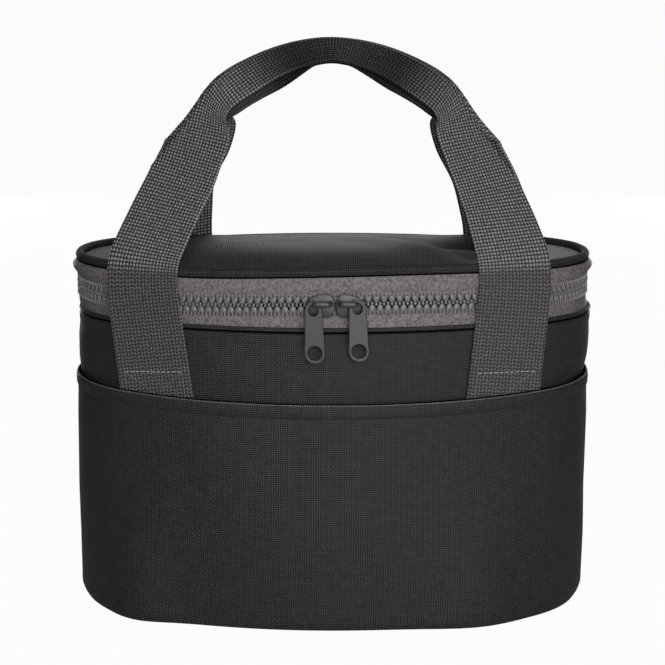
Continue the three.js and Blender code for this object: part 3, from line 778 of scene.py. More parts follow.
def wall_panel(start, end):
    """Body cloth: curled under the base, upright, and folded at the top into a narrow rim.

    The profile runs up the outer face and down the inner one, one shell thickness behind it.
    """
    headings = headings_between(start, end)
    turn = np.linspace(0, np.pi / 2, 7)
    edge_out, edge_z = 1 - np.sin(turn), 1 - np.cos(turn)
    along = length_at(headings)[:, None]
    foot = foot_radius(along)
    level = np.zeros_like(along)
    wall_z = level + np.linspace(13, 142, 24)
    rim_z = RIM_Z - np.array([5.4, 3.6, 2.8, 2.2, 1.7, 0.8, 0.25, 0.0])
    rim_out = np.array([0.25, 0.3, -0.7, -0.7, 0.3, 0.45, 0.2, -0.4])
    inner_foot = foot - SHELL_T
    inner_rim = np.minimum(rim_z, RIM_Z - GAP)
    z = np.concatenate([foot * edge_z, wall_z, level + rim_z], axis=1)
    inner_z = np.concatenate([SHELL_T + inner_foot * edge_z, wall_z, level + inner_rim], axis=1)
    out = np.concatenate([-foot * edge_out, np.zeros_like(wall_z), level + rim_out], axis=1)
    inner_out = np.full_like(z, -SHELL_T)
    inner_out[:, : len(turn)] -= inner_foot * edge_out
    drawn = body_draw(along, z)
    rear = smoothstep(from_front(along), SIDE_SEAM, SIDE_SEAM + 12)
    bare = np.maximum(plateau(z, 118, 126, 138, 143), rear * plateau(z, 8, 40, 130, 143))
    wavy = out + drawn + WALL_RIPPLE * ripple(along, z) * bare * clear_of_straps(along)
    return swept(headings, there_and_back(wavy, inner_out + drawn), there_and_back(z, inner_z))


def wall_cloth(name, start):
    """The front or back wall, from one side seam to the next, as a stretched sheet of cloth."""
    wall = wall_panel(start + SEAM_GAP, start + HALF_LAP - SEAM_GAP)
    nodes = [f"outer_{name}_panel"]
    made = piece(f"{name}_wall_cloth", wall, "shell_weave", "bag_body", nodes)


def rim_crease_shade():
    """A dark strip in the groove of the rim, drawn as a line of thread: painted shade of the crease."""
    headings = full_lap(FINE_STEP)
    outs, heights = rounded_profile(-0.75, -0.35, RIM_Z - 2.9, RIM_Z - 2.1, 0.15, 3)
    drawn = body_draw(length_at(headings), RIM_Z - 2.5)[:, None]
    return swept(headings, outs + drawn, heights, loop=True)


def base_oval():
    """Base cloth: a flat oval that ends inside the curled foot of the walls."""
    along = length_at(full_lap())
    edge = body_draw(along, 0.0) - foot_radius(along) - GAP
    shares = [CLOSED, 0.5, 0.97, 1.0, 1.0, 0.97, 0.5, CLOSED]
    heights = [0.0, 0.0, 0.0, 0.25, 0.75, 1.0, 1.0, 1.0]
    return oval_stack(shares, np.broadcast_to(edge, (len(shares), len(along))), heights)


class BAG_OT_body_cloth(bpy.types.Operator):
    """Front and back walls and the base of the body's cloth"""

    bl_idname = "lunch_bag.body_cloth"
    bl_label = "Body cloth"

    def execute(self, context):
        wall_cloth("front", -SIDE_SEAM)
        # Dark strip in the rim's groove: painted shade.
        piece("rim_seam", rim_crease_shade(), "seam_thread", "bag_body")
        wall_cloth("back", SIDE_SEAM)
        made = piece("base_cloth", base_oval(), "shell_weave", "bag_body", ["base_panel"])
        return {"FINISHED"}


def pocket_hang(along):
    """Slack of the pocket and height of its hem at lengths along the front: a cosine that ends at the
    side seams, and a power of the share of the way there."""
    share = np.clip(np.abs(along) / SIDE_SEAM, 0, 1)
    return POCKET_SLACK * np.cos(np.pi / 2 * share), HEM_Z + HEM_RISE * share**2.5


def pocket_out(along, z):
    """Inner face of the pocket: it climbs away from the wall over the slope and then hangs level.
    Its ends are sewn into the side seams."""
    slack = pocket_hang(along)[0]
    climb = np.sin(np.pi / 2 * np.clip((z - foot_radius(along)) / POCKET_SLOPE, 0, 1))
    sewn = GAP - 0.9 * smoothstep(np.abs(along) / SIDE_SEAM, 0.9, 1.0)
    return sewn + slack * climb + body_draw(along, z)


def pocket_panel():
    """Pocket cloth with a folded hem: twice as thick above the line of stitches, rounded on top."""
    headings = headings_between(SEAM_GAP - SIDE_SEAM, SIDE_SEAM - SEAM_GAP)
    along = length_at(headings)[:, None]
    hem = pocket_hang(along)[1]
    under = np.radians([48, 62, 76])
    depth = size("hem_depth")
    below = np.array([depth + 2, depth + 0.5, depth, depth - 0.5, depth - 2, 3.0, 1.2, 0.5, 0.0])
    swell = np.array([1.0, 0.95, 0.75, 1.1, 1.6, 1.75, 1.7, 1.4, 0.8])
    share = np.linspace(0, 1, 24)
    radius = foot_radius(along)
    wall_z = radius + share * (hem - depth - 4 - radius)
    z = np.concatenate([wall_z, hem - below], axis=1)
    thick = np.concatenate([np.full(len(share), SHELL_T), swell])
    inner = pocket_out(along, z)
    fall = POCKET_RIPPLE * ripple(along, z) * plateau(z, 12, 40, 95, 108)
    outer = inner + thick + fall
    middle = body_draw(along, radius) - radius
    outside, inside = radius + 1.1, radius + 0.1
    back = under[::-1]
    outs = [middle + outside * np.sin(under), outer, inner[:, ::-1], middle + inside * np.sin(back)]
    heights = [radius - outside * np.cos(under), z, z[:, ::-1], radius - inside * np.cos(back)]
    return swept(headings, np.concatenate(outs, axis=1), np.concatenate(heights, axis=1))


def hem_line(out_low, out_high, low, high):
    """A thin rounded band along the hem, by its distances from the pocket's inner face and the edge:
    it carries the painted highlight on the hem's fold and the painted shade just above it.
    """
    headings = headings_between(2 * SEAM_GAP - SIDE_SEAM, SIDE_SEAM - 2 * SEAM_GAP)
    along = length_at(headings)[:, None]
    hem = pocket_hang(along)[1]
    outs, heights = rounded_profile(out_low, out_high, low, high, 0.2, 3)
    return swept(headings, pocket_out(along, hem) + outs, hem + heights)


def hem_stitches():
    """The line of stitches under the pocket's hem."""
    headings = headings_between(4 - SIDE_SEAM, SIDE_SEAM - 4, 1.5)
    along = length_at(headings)
    z = pocket_hang(along)[1] - size("hem_depth")
    path = oval(headings, pocket_out(along, z) + 0.85, z)
    sizes = HEM_STITCH_LENGTH, HEM_STITCH_PITCH, HEM_STITCH_RADIUS
    return stitch_run(path, normal_at(headings), *sizes)


class BAG_OT_pocket(bpy.types.Operator):
    """Front slip pocket with its folded and stitched hem"""

    bl_idname = "lunch_bag.pocket"
    bl_label = "Pocket"

    def execute(self, context):
        cloth = pocket_panel()
        made = piece("pocket_cloth", cloth, "shell_weave", "bag_body", ["front_pocket"])
        details = (
            ("pocket_hem_stitches", hem_stitches(), "shell_thread"),
            # The hem's fold painted light: a painted highlight.
            ("pocket_hem_fold", hem_line(0.85, 1.5, -0.45, 0.2), "worn_fold"),
            # A dark band just above the hem: painted shade of the gap between the pocket and the wall.
            ("pocket_facing", hem_line(0.05, 0.6, -0.3, 0.7), "seam_thread"),
        )
        sewn = [piece(name, shape, finish, "bag_body") for name, shape, finish in details]
        cut = (2 * SIDE_SEAM * MM, (HEM_Z + size("hem_depth")) * MM)
        return {"FINISHED"}


def wall_lining():
    """Padded lining of the walls: up behind the cloth, and down inside with a soft unevenness."""
    headings = full_lap()
    along = length_at(headings)[:, None]
    inner_z = np.concatenate([[145.4], np.linspace(143, 10, 20), [7.5]])
    soft = plateau(inner_z, 8, 30, 125, 143)
    inner = LINING_IN + LINING_RIPPLE * (ripple(along, inner_z) - 0.5) * soft
    foot = foot_radius(along)
    level = np.zeros_like(along)
    outer_z = [level + 6.9, foot + 0.6, foot + 0.2, level + np.array([60, 120, 145, 145.6])]
    outer = np.array([-6.9, -2.0, -1.4, -1.35, -1.35, -1.4, -2.4])
    outs = np.concatenate([level + outer, inner], axis=1)
    z = np.concatenate([*outer_z, level + inner_z], axis=1)
    return swept(headings, outs + body_draw(along, z), z, loop=True)


def base_lining():
    """Padded lining of the base: a low oval cushion with its lower rim drawn in over the foot."""
    shares = [CLOSED, 0.5, 1, 1, 1, 0.985, 0.9, 0.5, CLOSED]
    outs = [-11.4, -11.4, -11.4, -9.4, -6.6, -7.9, -7.9, -7.9, -7.9]
    return oval_stack(shares, outs, [1.3, 1.3, 1.3, 2.0, 5.4, 6.6, 7.2, 7.6, 7.8])


class BAG_OT_lining(bpy.types.Operator):
    """Padded lining of the walls and the base, and the bound seam at the mouth"""

    bl_idname = "lunch_bag.lining"
    bl_label = "Lining"

    def execute(self, context):
        for name, shape, fill in (("wall", wall_lining(), 0.5), ("base", base_lining(), 0.4)):
            nodes = [f"{name}_foam", f"{name}_liner"]
            made = piece(f"{name}_lining", shape, "lining_film", "bag_body", nodes)
        roll = bound_seam(LINING_IN, -2.4, SEAM_Z, RIM_Z - GAP, 1.6)
        nodes = ["mouth_binding"]
        piece("mouth_binding_tape", roll, "piping_weave", "bag_body", nodes)
        return {"FINISHED"}


# Bells of height, middle and width along the front: the lift of the lid's edge and the zip's sag.
LID_LIFT = ((1.4, 38, 60), (-1.3, -75, 38))
CHAIN_SAG = ((-2.4, -85, 65), (-1.2, 90, 45))
# How far the lid's edge is drawn down behind, and how far the teeth stand out at the bag's ends.
LID_REAR_DROP = 2.2
CHAIN_END_OUT = 0.6


def lid_lift(along):
    """How far the lid's edge is drawn up at the right of the front, and down at the left and
    behind, in mm."""
    behind = LID_REAR_DROP * smoothstep(from_front(along), HALF_LAP - 95, HALF_LAP - 55)
    return bells(along, LID_LIFT) - behind


def chain_sag(along):
    """How far the zip sags between the strap ends, in mm: more at the left than at the right."""
    return bells(along, CHAIN_SAG)


def chain_out(headings):
    """Distance of the zip's teeth from the oval: a little further out at the ends."""
    return CHAIN_OUT + CHAIN_END_OUT * at_ends(headings)


def cloth_strip(headings, outer, z):
    """A strip of tape: its outer face up, and its inner one, a tape's thickness behind, down."""
    return swept(headings, there_and_back(outer, outer - TAPE_T), there_and_back(z, z))


def tape_band(side):
    """A zip tape from the tooth roots to its seam: nearly flat, and bellied out at the lid's ends."""
    headings = headings_between(SEAM_GAP - ZIP_RUN, ZIP_RUN - SEAM_GAP, 2.0)
    along = length_at(headings)[:, None]
    share = np.linspace(0, 1, 14)
    root = ZIP_Z + chain_sag(along) + side * TOOTH_ROOT
    seam = SEAM_Z if side < 0 else LID_SEAM_Z + lid_lift(along)
    z = root + share * (seam - root)
    ends = at_ends(headings)[:, None]
    belly = 0.3 * np.sin(np.pi * share) + CHAIN_END_OUT * ends * (1 - share)
    if side > 0:
        full = 1 - smoothstep(np.abs(headings)[:, None], np.pi / 2, heading_at(ZIP_RUN))
        belly = (0.8 + 0.4 * share + 1.6 * ends) * full * np.sin(np.pi * share ** mix(1.0, 1.7, ends))
        belly = belly + CHAIN_END_OUT * ends * (1 - share) + 1.2 * ends * share
    else:
        tucked = smoothstep(RIM_Z - z, 0.8, 2.2)
        belly = belly - 0.9 * tucked + body_draw(along, RIM_Z) * smoothstep(share, 0.3, 0.9)
    return cloth_strip(headings, TAPE_OUT + belly, z)


class BAG_OT_zip_tapes(bpy.types.Operator):
    """Zip tapes below and above the teeth"""

    bl_idname = "lunch_bag.zip_tapes"
    bl_label = "Zip tapes"

    def execute(self, context):
        tapes = (
            ("lower", -1, "bag_body", LOWER_TAPE_WIDTH, "front_wall_cloth"),
            ("upper", 1, "lid", UPPER_TAPE_WIDTH, "lid_pad"),
        )
        for name, side, body, width, under in tapes:
            nodes = [f"{name}_zip_tape"]
            made = piece(f"{name}_tape", tape_band(side), "tape_weave", body, nodes)
        return {"FINISHED"}


def zip_tooth():
    """One moulded tooth: x along the zip, y to the other row, z outwards.

    Its half width is full from the root to the shoulder, narrows to a neck and widens to a round head.
    """
    reach = np.array([-TOOTH_ROOT, -1.5, -1.15, -0.75, -0.2, 0.3, 0.75, 1.05])
    half = np.array([1.5, 1.46, 1.15, 0.45, 0.45, 0.76, 0.7, 0.35])
    thick = np.array([1.0, 1.35, 1.3, 1.1, 1.1, 1.2, 1.1, 0.7])
    x = np.array([1, 1, 0.8, -0.8, -1, -1, -0.8, 0.8])
    z = np.array([-0.7, 0.75, 1, 1, 0.75, -0.7, -1, -1])
    level = np.repeat(reach[:, None], len(x), axis=1)
    rings = np.stack([half[:, None] * x, level, thick[:, None] * z], axis=-1)
    return net(rings, np.zeros((len(reach), len(x) + 1, 2)), capped=True)


def on_chain(shape, places, side):
    """Copies of a shape at lengths along the zip, with its y towards the other row of teeth."""
    headings = heading_at(places)
    up = np.zeros((len(places), 3))
    up[:, 2] = -side
    outward = normal_at(headings)
    axes = np.stack([np.cross(up, outward), up, outward], axis=-1)
    return shape.copies(oval(headings, chain_out(headings), ZIP_Z + chain_sag(places)), axes)


def tooth_row(side):
    """A row of teeth, the knitted loops above its roots and the edge of the tape behind it."""
    count = int(ZIP_RUN / TOOTH_PITCH)
    shift = 0.5 if side > 0 else 0.0
    places = (np.arange(-count + 1, count) + shift) * TOOTH_PITCH
    teeth = on_chain(zip_tooth(), places, side)
    path = np.array([[0, -5.2, 0.6], [0, -4.5, 1.0], [0, -3.6, 0.8]])
    loop = tube(path, 0.34, sides=6, facing=(1, 0, 0))
    between = np.concatenate([places - TOOTH_PITCH / 4, places + TOOTH_PITCH / 4])
    loops = on_chain(loop, between, side)
    headings = headings_between(0.3 - ZIP_RUN, ZIP_RUN - 0.3)
    outs, heights = rounded_profile(-0.6, 0.6, 2.3, TOOTH_ROOT + 1.9, 0.3, 3)
    middle = ZIP_Z + chain_sag(length_at(headings))
    edge = swept(headings, chain_out(headings)[:, None] + outs, middle[:, None] + side * heights)
    return teeth, loops, edge


class BAG_OT_zip_teeth(bpy.types.Operator):
    """Both rows of moulded zip teeth and their knitted edges"""

    bl_idname = "lunch_bag.zip_teeth"
    bl_label = "Zip teeth"

    def execute(self, context):
        rows = (("lower", -1, "bag_body"), ("upper", 1, "lid"))
        for name, side, body in rows:
            teeth, loops, edge = tooth_row(side)
            piece(f"{name}_teeth", teeth, "tooth_plastic", body, [f"{name}_zip_teeth"])
            # The tape's edge behind the loops is painted dark: painted shade.
            piece(f"{name}_knit_edge", edge, "knit_ground", body)
            # Loops lighter than the tape: a painted highlight.
            piece(f"{name}_knit_loops", loops, "knit_thread", body)
        return {"FINISHED"}


def hinge_strip():
    """The strip behind, from the rim's seam to the lid's: bellied out a little, and uneven."""
    headings = headings_between(ZIP_RUN + SEAM_GAP, 2 * HALF_LAP - ZIP_RUN - SEAM_GAP)
    along = length_at(headings)[:, None]
    share = np.linspace(0, 1, 25)
    z = SEAM_Z + share * (LID_SEAM_Z + lid_lift(along) - SEAM_Z)
    belly = 0.5 * np.sin(np.pi * smoothstep(share, 0.2, 1.0)) * (0.6 + 0.4 * ripple(along, z))
    return cloth_strip(headings, TAPE_OUT + belly, z)


class BAG_OT_hinge_cloth(bpy.types.Operator):
    """Strip of cloth behind, on which the lid turns"""

    bl_idname = "lunch_bag.hinge_cloth"
    bl_label = "Hinge cloth"

    def execute(self, context):
        start, end = ((0, HINGE_Y * MM, z * MM) for z in HINGE_BEND)
        turn = ("bag_body", "lid", start, end)
        nodes = ["hinge_strip_lower", "hinge_strip_upper"]
        made = piece("hinge_cloth", hinge_strip(), "shell_weave", turn, nodes)
        return {"FINISHED"}


# The padded lid: where its crown lies, the height and the distance from the oval of its edge, how much
# further out that is at the ends and higher behind, its underside, and the bound seam's heights.
LID_CROWN = (0.0, -22.0)
LID_EDGE_Z = 175.4
LID_EDGE_OUT = -4.7
LID_EDGE_END_OUT = 1.3
LID_EDGE_REAR_RISE = 2.4
LID_UNDER_Z = 174.4
LID_BINDING_Z = (168.9, 173.4)
# How much further out the piping and its seam are at the ends, and how much lower behind.
PIPING_END_OUT = 1.4
PIPING_REAR_DROP = 0.5
# Hollows and ridges of the soft lid: from one place to another, the width and the height at both.
LID_DENTS = (
    ((28, -2), (72, -58), 7, 10, -1.2, -6.0),
    ((36, 0), (76, -22), 10, 15, -2.0, -8.0),
    ((15, -28), (52, -58), 10, 9, 0.8, 1.4),
    ((55, 26), (92, 8), 10, 10, 0.5, 3.0),
    ((-60, -20), (-20, 10), 22, 22, -1.0, -1.0),
)


def lid_swell(shares, headings):
    """Height of the pad over its edge: 1 - share^k, with a large k, a full front shoulder, ahead
    and a small one, a straight fall, behind and at the ends."""
    front = smoothstep(np.cos(headings), 0.35, 0.92)
    power = mix(1.25, 6.5, front)
    return size("lid_height") * (1 - shares[:, None] ** power[None, :])


def lid_dents(x, y):
    """Height of the hollows and ridges, in mm: a bell of the distance from each one's line."""
    total = np.zeros_like(x)
    for (x0, y0), (x1, y1), width, end_width, height, end_height in LID_DENTS:
        dx, dy = x1 - x0, y1 - y0
        along = np.clip(((x - x0) * dx + (y - y0) * dy) / (dx * dx + dy * dy), 0, 1)
        away = np.hypot(x - x0 - along * dx, y - y0 - along * dy)
        total = total + mix(height, end_height, along) * bell(away, 0, mix(width, end_width, along))
    return total


def lid_pad():
    """The padded top: a flat underside, an edge against the piping and a full crown off the middle."""
    headings = full_lap()
    shares = np.concatenate([[1.0, 0.985], np.linspace(0.96, 0.04, 34), [CLOSED]])
    along = length_at(headings)
    edge = LID_EDGE_Z + lid_lift(along) + LID_EDGE_REAR_RISE * at_rear(along)
    edge_out = LID_EDGE_OUT + LID_EDGE_END_OUT * at_ends(headings)
    rings = oval(headings, edge_out, 0.0)
    x, y = (mix(LID_CROWN[k], rings[:, k], shares[:, None]) for k in (0, 1))
    fade = smoothstep(1 - shares, 0.03, 0.2)[:, None]
    wrinkle = LID_RIPPLE * (ripple(x * 2.2, y * 2.6) - 0.5)
    top = mix(edge.mean(), edge, shares[:, None] ** 2) + lid_swell(shares, headings)
    top = top + fade * (lid_dents(x, y) + wrinkle)
    under_shares = [CLOSED, 0.6, 0.99]
    under = np.broadcast_to(np.minimum(edge - 1.0, LID_UNDER_Z), (len(under_shares), len(edge)))
    heights = np.concatenate([under, top])
    outs = np.broadcast_to(edge_out, heights.shape)
    return oval_stack(np.concatenate([under_shares, shares]), outs, heights, LID_CROWN)


def round_lid(outs, heights):
    """A closed profile carried round the lid's edge: further out at its ends, and lifted with it."""
    headings = full_lap(FINE_STEP)
    along = length_at(headings)[:, None]
    further = PIPING_END_OUT * at_ends(headings)[:, None]
    lift = lid_lift(along) - PIPING_REAR_DROP * at_rear(along)
    return swept(headings, outs + further, heights + lift, loop=True)


def lid_piping():
    """The round cord that edges the lid."""
    turn = np.linspace(0, 2 * np.pi, 14, endpoint=False)
    radius = size("piping_radius")
    return round_lid(PIPING_OUT + radius * np.cos(turn), PIPING_Z + radius * np.sin(turn))


def lid_film():
    """The film under the lid: a thin oval, a little deeper in the middle."""
    shares = [CLOSED, 0.5, 0.9, 1, 1, 1, 0.5, CLOSED]
    heights = [168.5, 168.6, 168.8, 169.2, 170.0, 171.0, 171.2, 171.2]
    return oval_stack(shares, [LID_LINING_OUT] * len(shares), heights)


class BAG_OT_lid(bpy.types.Operator):
    """Padded lid with its piping, lining and bound seam"""

    bl_idname = "lunch_bag.lid"
    bl_label = "Lid"

    def execute(self, context):
        nodes = ["lid_top_panel", "lid_foam"]
        # The lid's cloth is painted lighter than the same cloth of the walls: painted light.
        made = piece("lid_pad", lid_pad(), "lid_weave", "lid", nodes)
        piece("lid_edge_piping", lid_piping(), "piping_weave", "lid", ["lid_piping"])
        # A dark strip at the foot of the piping: painted shade under the lid's edge.
        seam = round_lid(*rounded_profile(-2.2, -1.0, LID_SEAM_Z - 0.2, LID_SEAM_Z + 0.7, 0.3, 3))
        piece("lid_seam", seam, "seam_thread", "lid")
        made = piece("lid_lining", lid_film(), "lining_film", "lid", ["lid_liner"])
        roll = bound_seam(-3.7, -2.4, *LID_BINDING_Z, 0.5)
        piece("lid_binding_tape", roll, "piping_weave", "lid", ["lid_binding"])
        return {"FINISHED"}


def strap_wall(z, sewn, splay):
    """Middle line of the strap on the wall at the right of the front, and its heading.

    Sewn is its length along the oval at the stitches, and splay how far it leans out up to the lid.
    """
    climb = (z - STITCH_Z) / (PIPING_Z - STITCH_Z)
    heading = heading_at(sewn + splay * climb)
    clear = mix(GAP, 0.8, np.clip(climb, 0, 1))
    return oval(heading, clear + WEB_T / 2, z), heading


def softened(values, passes):
    """The same row of values with each drawn towards its neighbours, ends held."""
    values = values.copy()
    for _ in range(passes):
        values[1:-1] = (values[:-2] + 2 * values[1:-1] + values[2:]) / 4
    return values


def handle_side(sewn, splay, gape, turn_out, fold_from, over, pleat):
    """Right half of a handle, from the sewn tail up to the middle of the grip.

    The middle line follows the wall and then an arch that leans over the lid. The webbing's outer
    half is folded back along a hinge that slants from its outer edge, at the share fold_from, to over
    millimetres past its middle, and the middle line moves out by half of what is folded, so that the
    band narrows evenly from both sides. gape is how far the folded part stands off behind at four
    places, in degrees, and turn_out how far the leg turns to the side, in radians, on its way up.
    The pleat is how far the inner edge is drawn down and in at the crease.
    """
    wall_z = np.arange(STRAP_END_Z, STRAP_TOP_Z + 0.1, STEP)
    wall, wall_heading = strap_wall(wall_z, sewn, splay)
    foot, foot_heading = strap_wall(np.array([PIPING_Z]), sewn, splay)
    line = np.array([(foot[0, 0], 0.0), *HANDLE_LINE])
    run = run_along(line)
    share = np.linspace(0, 1, 80)[1:]
    level, rise = softened(along_path(share * run[-1], run, line), 16).T
    arch_y = foot[0, 1] + rise * np.sin(HANDLE_LEAN)
    arch = np.stack([level, arch_y, foot[0, 2] + rise * np.cos(HANDLE_LEAN)], axis=-1)
    centre = softened(np.concatenate([wall, arch]), 6)
    share = np.concatenate([np.zeros(len(wall)), share])
    lean = softened(np.where(share > 0, HANDLE_LEAN, 0.0), 6)
    turn = np.concatenate([wall_heading, np.full(len(arch), foot_heading[0])])
    grip = smoothstep(share, CREASE - 0.04, CREASE + 0.06)
    roll = mix(lean, np.radians(np.interp(share, [CREASE, 0.75, 1.0], GRIP_ROLL)), grip)
    turn = (turn + turn_out * smoothstep(share, 0.02, 0.3)) * (1 - grip)
    facing = np.stack([np.sin(turn) * np.cos(roll), -np.cos(turn) * np.cos(roll), np.sin(roll)], axis=-1)
    along = unit(np.gradient(centre, axis=0))
    outer = unit(np.cross(along, facing))
    front = np.cross(outer, along)
    slant = np.clip((share - fold_from) / (FOLD_END - fold_from), 0, 1)
    over = over * (1 - smoothstep(share, 0.75, 0.95))
    hinge = softened(mix(HALF_WEB + 3.6, -over, slant), 12)
    fold = np.pi - np.radians(np.interp(share, [fold_from, CREASE, 0.78, 0.93], gape))
    shift = (HALF_WEB - np.clip(hinge, 0, HALF_WEB)) / 2
    tuck = bell(share, CREASE, 0.07)[:, None] * (pleat[1] * outer - pleat[0] * along)
    return centre + outer * shift[:, None], outer, front, fold, hinge, tuck


def mirrored(stations, axis):
    """The same stations on the other side of the bag."""
    flip = np.ones(3)
    flip[axis] = -1
    middle, outer, front, fold, hinge, tuck = stations
    return middle * flip, outer * flip, front * flip, fold, hinge, tuck * flip


def handle_halves(name):
    """Stations of the left and right halves of the front or the rear handle."""
    if name == "front":
        left = handle_side(90.2, 7.4, (10, 40, 40, 3), 0.05, fold_from=0.27, over=1.0, pleat=(6, 4))
        right = handle_side(87.1, 5.8, (10, 32, 30, 3), 0.2, fold_from=0.19, over=0.5, pleat=(6, 2.5))
        return mirrored(left, 0), right
    left = handle_side(79.5, 5.0, (10, 10, 10, 3), 0.1, fold_from=0.32, over=0, pleat=(9, 13))
    right = handle_side(85.5, 5.0, (10, 10, 10, 3), 0.1, fold_from=0.32, over=0, pleat=(8, 11))
    return mirrored(mirrored(left, 0), 1), mirrored(right, 1)


def strip_columns():
    """Places across the webbing, closer together where the hinge of the fold runs."""
    inner = np.array([-20.0, -19.6, -18, -15, -12, -9, -6, -3, -1.5])
    return np.concatenate([inner, np.linspace(-0.5, 19.5, 37), [19.7, 20.0]])


def webbing_strip(left, right):
    """Webbing through the stations of both halves, and its front face.

    Across the strip the direction turns back by the fold angle within a few millimetres of the
    hinge, and its sum from the middle gives the section: sum(cos(turn) * outer - sin(turn) * front).
    """
    joined = [np.concatenate([a, b[-2::-1]]) for a, b in zip(left, right)]
    middle, outer, front, fold, hinge, tuck = joined
    middle, outer, front = softened(middle, 8), unit(softened(outer, 8)), unit(softened(front, 8))
    across = strip_columns()
    turn = fold[:, None] * smoothstep(across[None, :], hinge[:, None] - 0.6, hinge[:, None] + 3.0)
    direction = np.cos(turn)[..., None] * outer[:, None] - np.sin(turn)[..., None] * front[:, None]
    face = np.cos(turn)[..., None] * front[:, None] + np.sin(turn)[..., None] * outer[:, None]
    steps = (direction[:, 1:] + direction[:, :-1]) / 2 * np.diff(across)[None, :, None]
    section = np.concatenate([np.zeros_like(steps[:, :1]), np.cumsum(steps, axis=1)], axis=1)
    section = section - section[:, np.argmin(np.abs(across))][:, None]
    inner = np.clip(-across / HALF_WEB, 0, 1)
    sheet = middle[:, None] + section + inner[None, :, None] * tuck[:, None]
    run = run_along(middle)
    edge = np.where(np.abs(across) > HALF_WEB - 0.2, 0.45, 1.0)[None, :, None]
    upper = sheet + face * edge * WEB_T / 2
    lower = sheet - face * edge * WEB_T / 2
    marks = np.concatenate([across, across[::-1], across[:1]])
    uv = uv_grid(run - run[-1] / 2, marks)[..., ::-1]
    return net(there_and_back(upper, lower), uv, capped=True), upper, face


# Rows of the webbing that are sewn down at each end, and the lines of stitches there, each from one
# place to another: mm across, and a row.
SEWN_ROWS = 11
SEAM_LINE = (((-16, 8.2), (16, 9)),)
BOX_AND_CROSS = (
    ((-16, 8.2), (-16, 1)),
    ((16, 9), (16, 1)),
    ((-16, 8.2), (16, 1)),
    ((16, 9), (-16, 1)),
)


def on_webbing(patch, across, row):
    """Points of the webbing's face at places across it and rows, blended from the four next to each."""
    column = np.interp(across, strip_columns(), np.arange(patch.shape[1]))
    left = np.minimum(column.astype(int), patch.shape[1] - 2)
    low = np.minimum(row.astype(int), patch.shape[0] - 2)
    beside, above = (column - left)[:, None], (row - low)[:, None]
    lower = mix(patch[low, left], patch[low, left + 1], beside)
    upper = mix(patch[low + 1, left], patch[low + 1, left + 1], beside)
    return mix(lower, upper, above)


def strap_stitches(upper, face, lines, radius):
    """Straight lines of stitches on the face of both sewn ends of the webbing."""
    runs = []
    share = np.linspace(0, 1, 25)
    last = slice(-1, -1 - SEWN_ROWS, -1)
    for rows in (slice(0, SEWN_ROWS), last):
        for (u0, r0), (u1, r1) in lines:
            row = mix(r0, r1, share)
            path = on_webbing(upper[rows], mix(u0, u1, share), row)
            facing = face[rows][row.astype(int), 0]
            runs.append(stitch_run(path, facing, size("stitch_length"), size("stitch_pitch"), radius))
    return runs


class BAG_OT_handles(bpy.types.Operator):
    """Front and rear handles, each one length of webbing with sewn ends and a folded grip"""

    bl_idname = "lunch_bag.handles"
    bl_label = "Handles"

    def execute(self, context):
        radius = size("stitch_radius")
        for name, way, wall in (("front", -1, "front_wall_cloth"), ("rear", 1, "back_wall_cloth")):
            strip, upper, face = webbing_strip(*handle_halves(name))
            start, end = ((0, way * STRAP_FOLD_Y * MM, z * MM) for z in STRAP_BEND)
            turn = ("bag_body", f"{name}_handle", start, end)
            nodes = [f"{name}_handle", f"{name}_left_strap_end", f"{name}_right_strap_end"]
            made = piece(f"{name}_webbing", strip, "webbing_weave", turn, nodes)
            line = strap_stitches(upper, face, SEAM_LINE, radius)
            sewn = piece(f"{name}_strap_stitches", line, "strap_thread", turn)
            # Box and cross stitches in the darker thread.
            cross = strap_stitches(upper, face, BOX_AND_CROSS, 0.75 * radius)
            boxed = piece(f"{name}_strap_cross", cross, "worn_thread", turn)
        return {"FINISHED"}


# Angle over which an edge of the metal is sharp, in degrees.
METAL_SHARP = 35


def slider_place(side):
    """Origin and axes of a slider on the zip: x to its nose, y upwards, z outwards."""
    heading = heading_at(np.array([SLIDERS_MEET + side * SLIDER_OFFSET]))
    outward = normal_at(heading)[0]
    along = np.array([np.cos(heading[0]), np.sin(heading[0]), 0.0]) * -side
    up = np.array([0.0, 0.0, 1.0])
    return oval(heading, CHAIN_OUT, ZIP_Z)[0], np.stack([along, up, outward], axis=-1)


def placed(surface, side):
    """A surface in a slider's own frame put on the zip."""
    origin, axes = slider_place(side)
    return Surface(origin + surface.points @ axes.T, surface.faces, surface.uv).outward()


def plate(outline, low, high, edge, crown=0.0):
    """A plate with rounded edges: its outline drawn in towards the middle, above and below."""
    middle = outline.mean(axis=0)
    reach = np.linalg.norm(outline - middle, axis=1, keepdims=True)
    insets = np.array([np.inf, 1.0, 0.3, 0.0, 0.0, 0.3, 1.0, 2.0, np.inf]) * edge
    heights = np.array([low, low, low + 0.3 * edge, low + edge, high - edge, high - 0.3 * edge, high,
                        high + 0.6 * crown, high + crown])
    scale = np.clip((reach - insets[:, None, None]) / reach, 0.02, 1)
    flat = middle + (outline - middle) * scale
    level = np.broadcast_to(heights[:, None, None], scale.shape)
    points = np.concatenate([flat, level], axis=2)
    uv = np.concatenate([points, points[:, :1]], axis=1)[..., :2]
    return net(points, uv, capped=True)


def slider_outline():
    """Outline of a slider's plate: a broad round nose and a narrower tail, with soft corners."""
    turn = np.linspace(0, 2 * np.pi, 48, endpoint=False)
    x = SLIDER_HALF * np.sign(np.cos(turn)) * np.abs(np.cos(turn)) ** 0.55
    half = mix(4.1, 5.8, smoothstep(x, -SLIDER_HALF, 2.0))
    y = half * np.sign(np.sin(turn)) * np.abs(np.sin(turn)) ** 0.6
    return np.stack([x, y - 0.9], axis=-1)


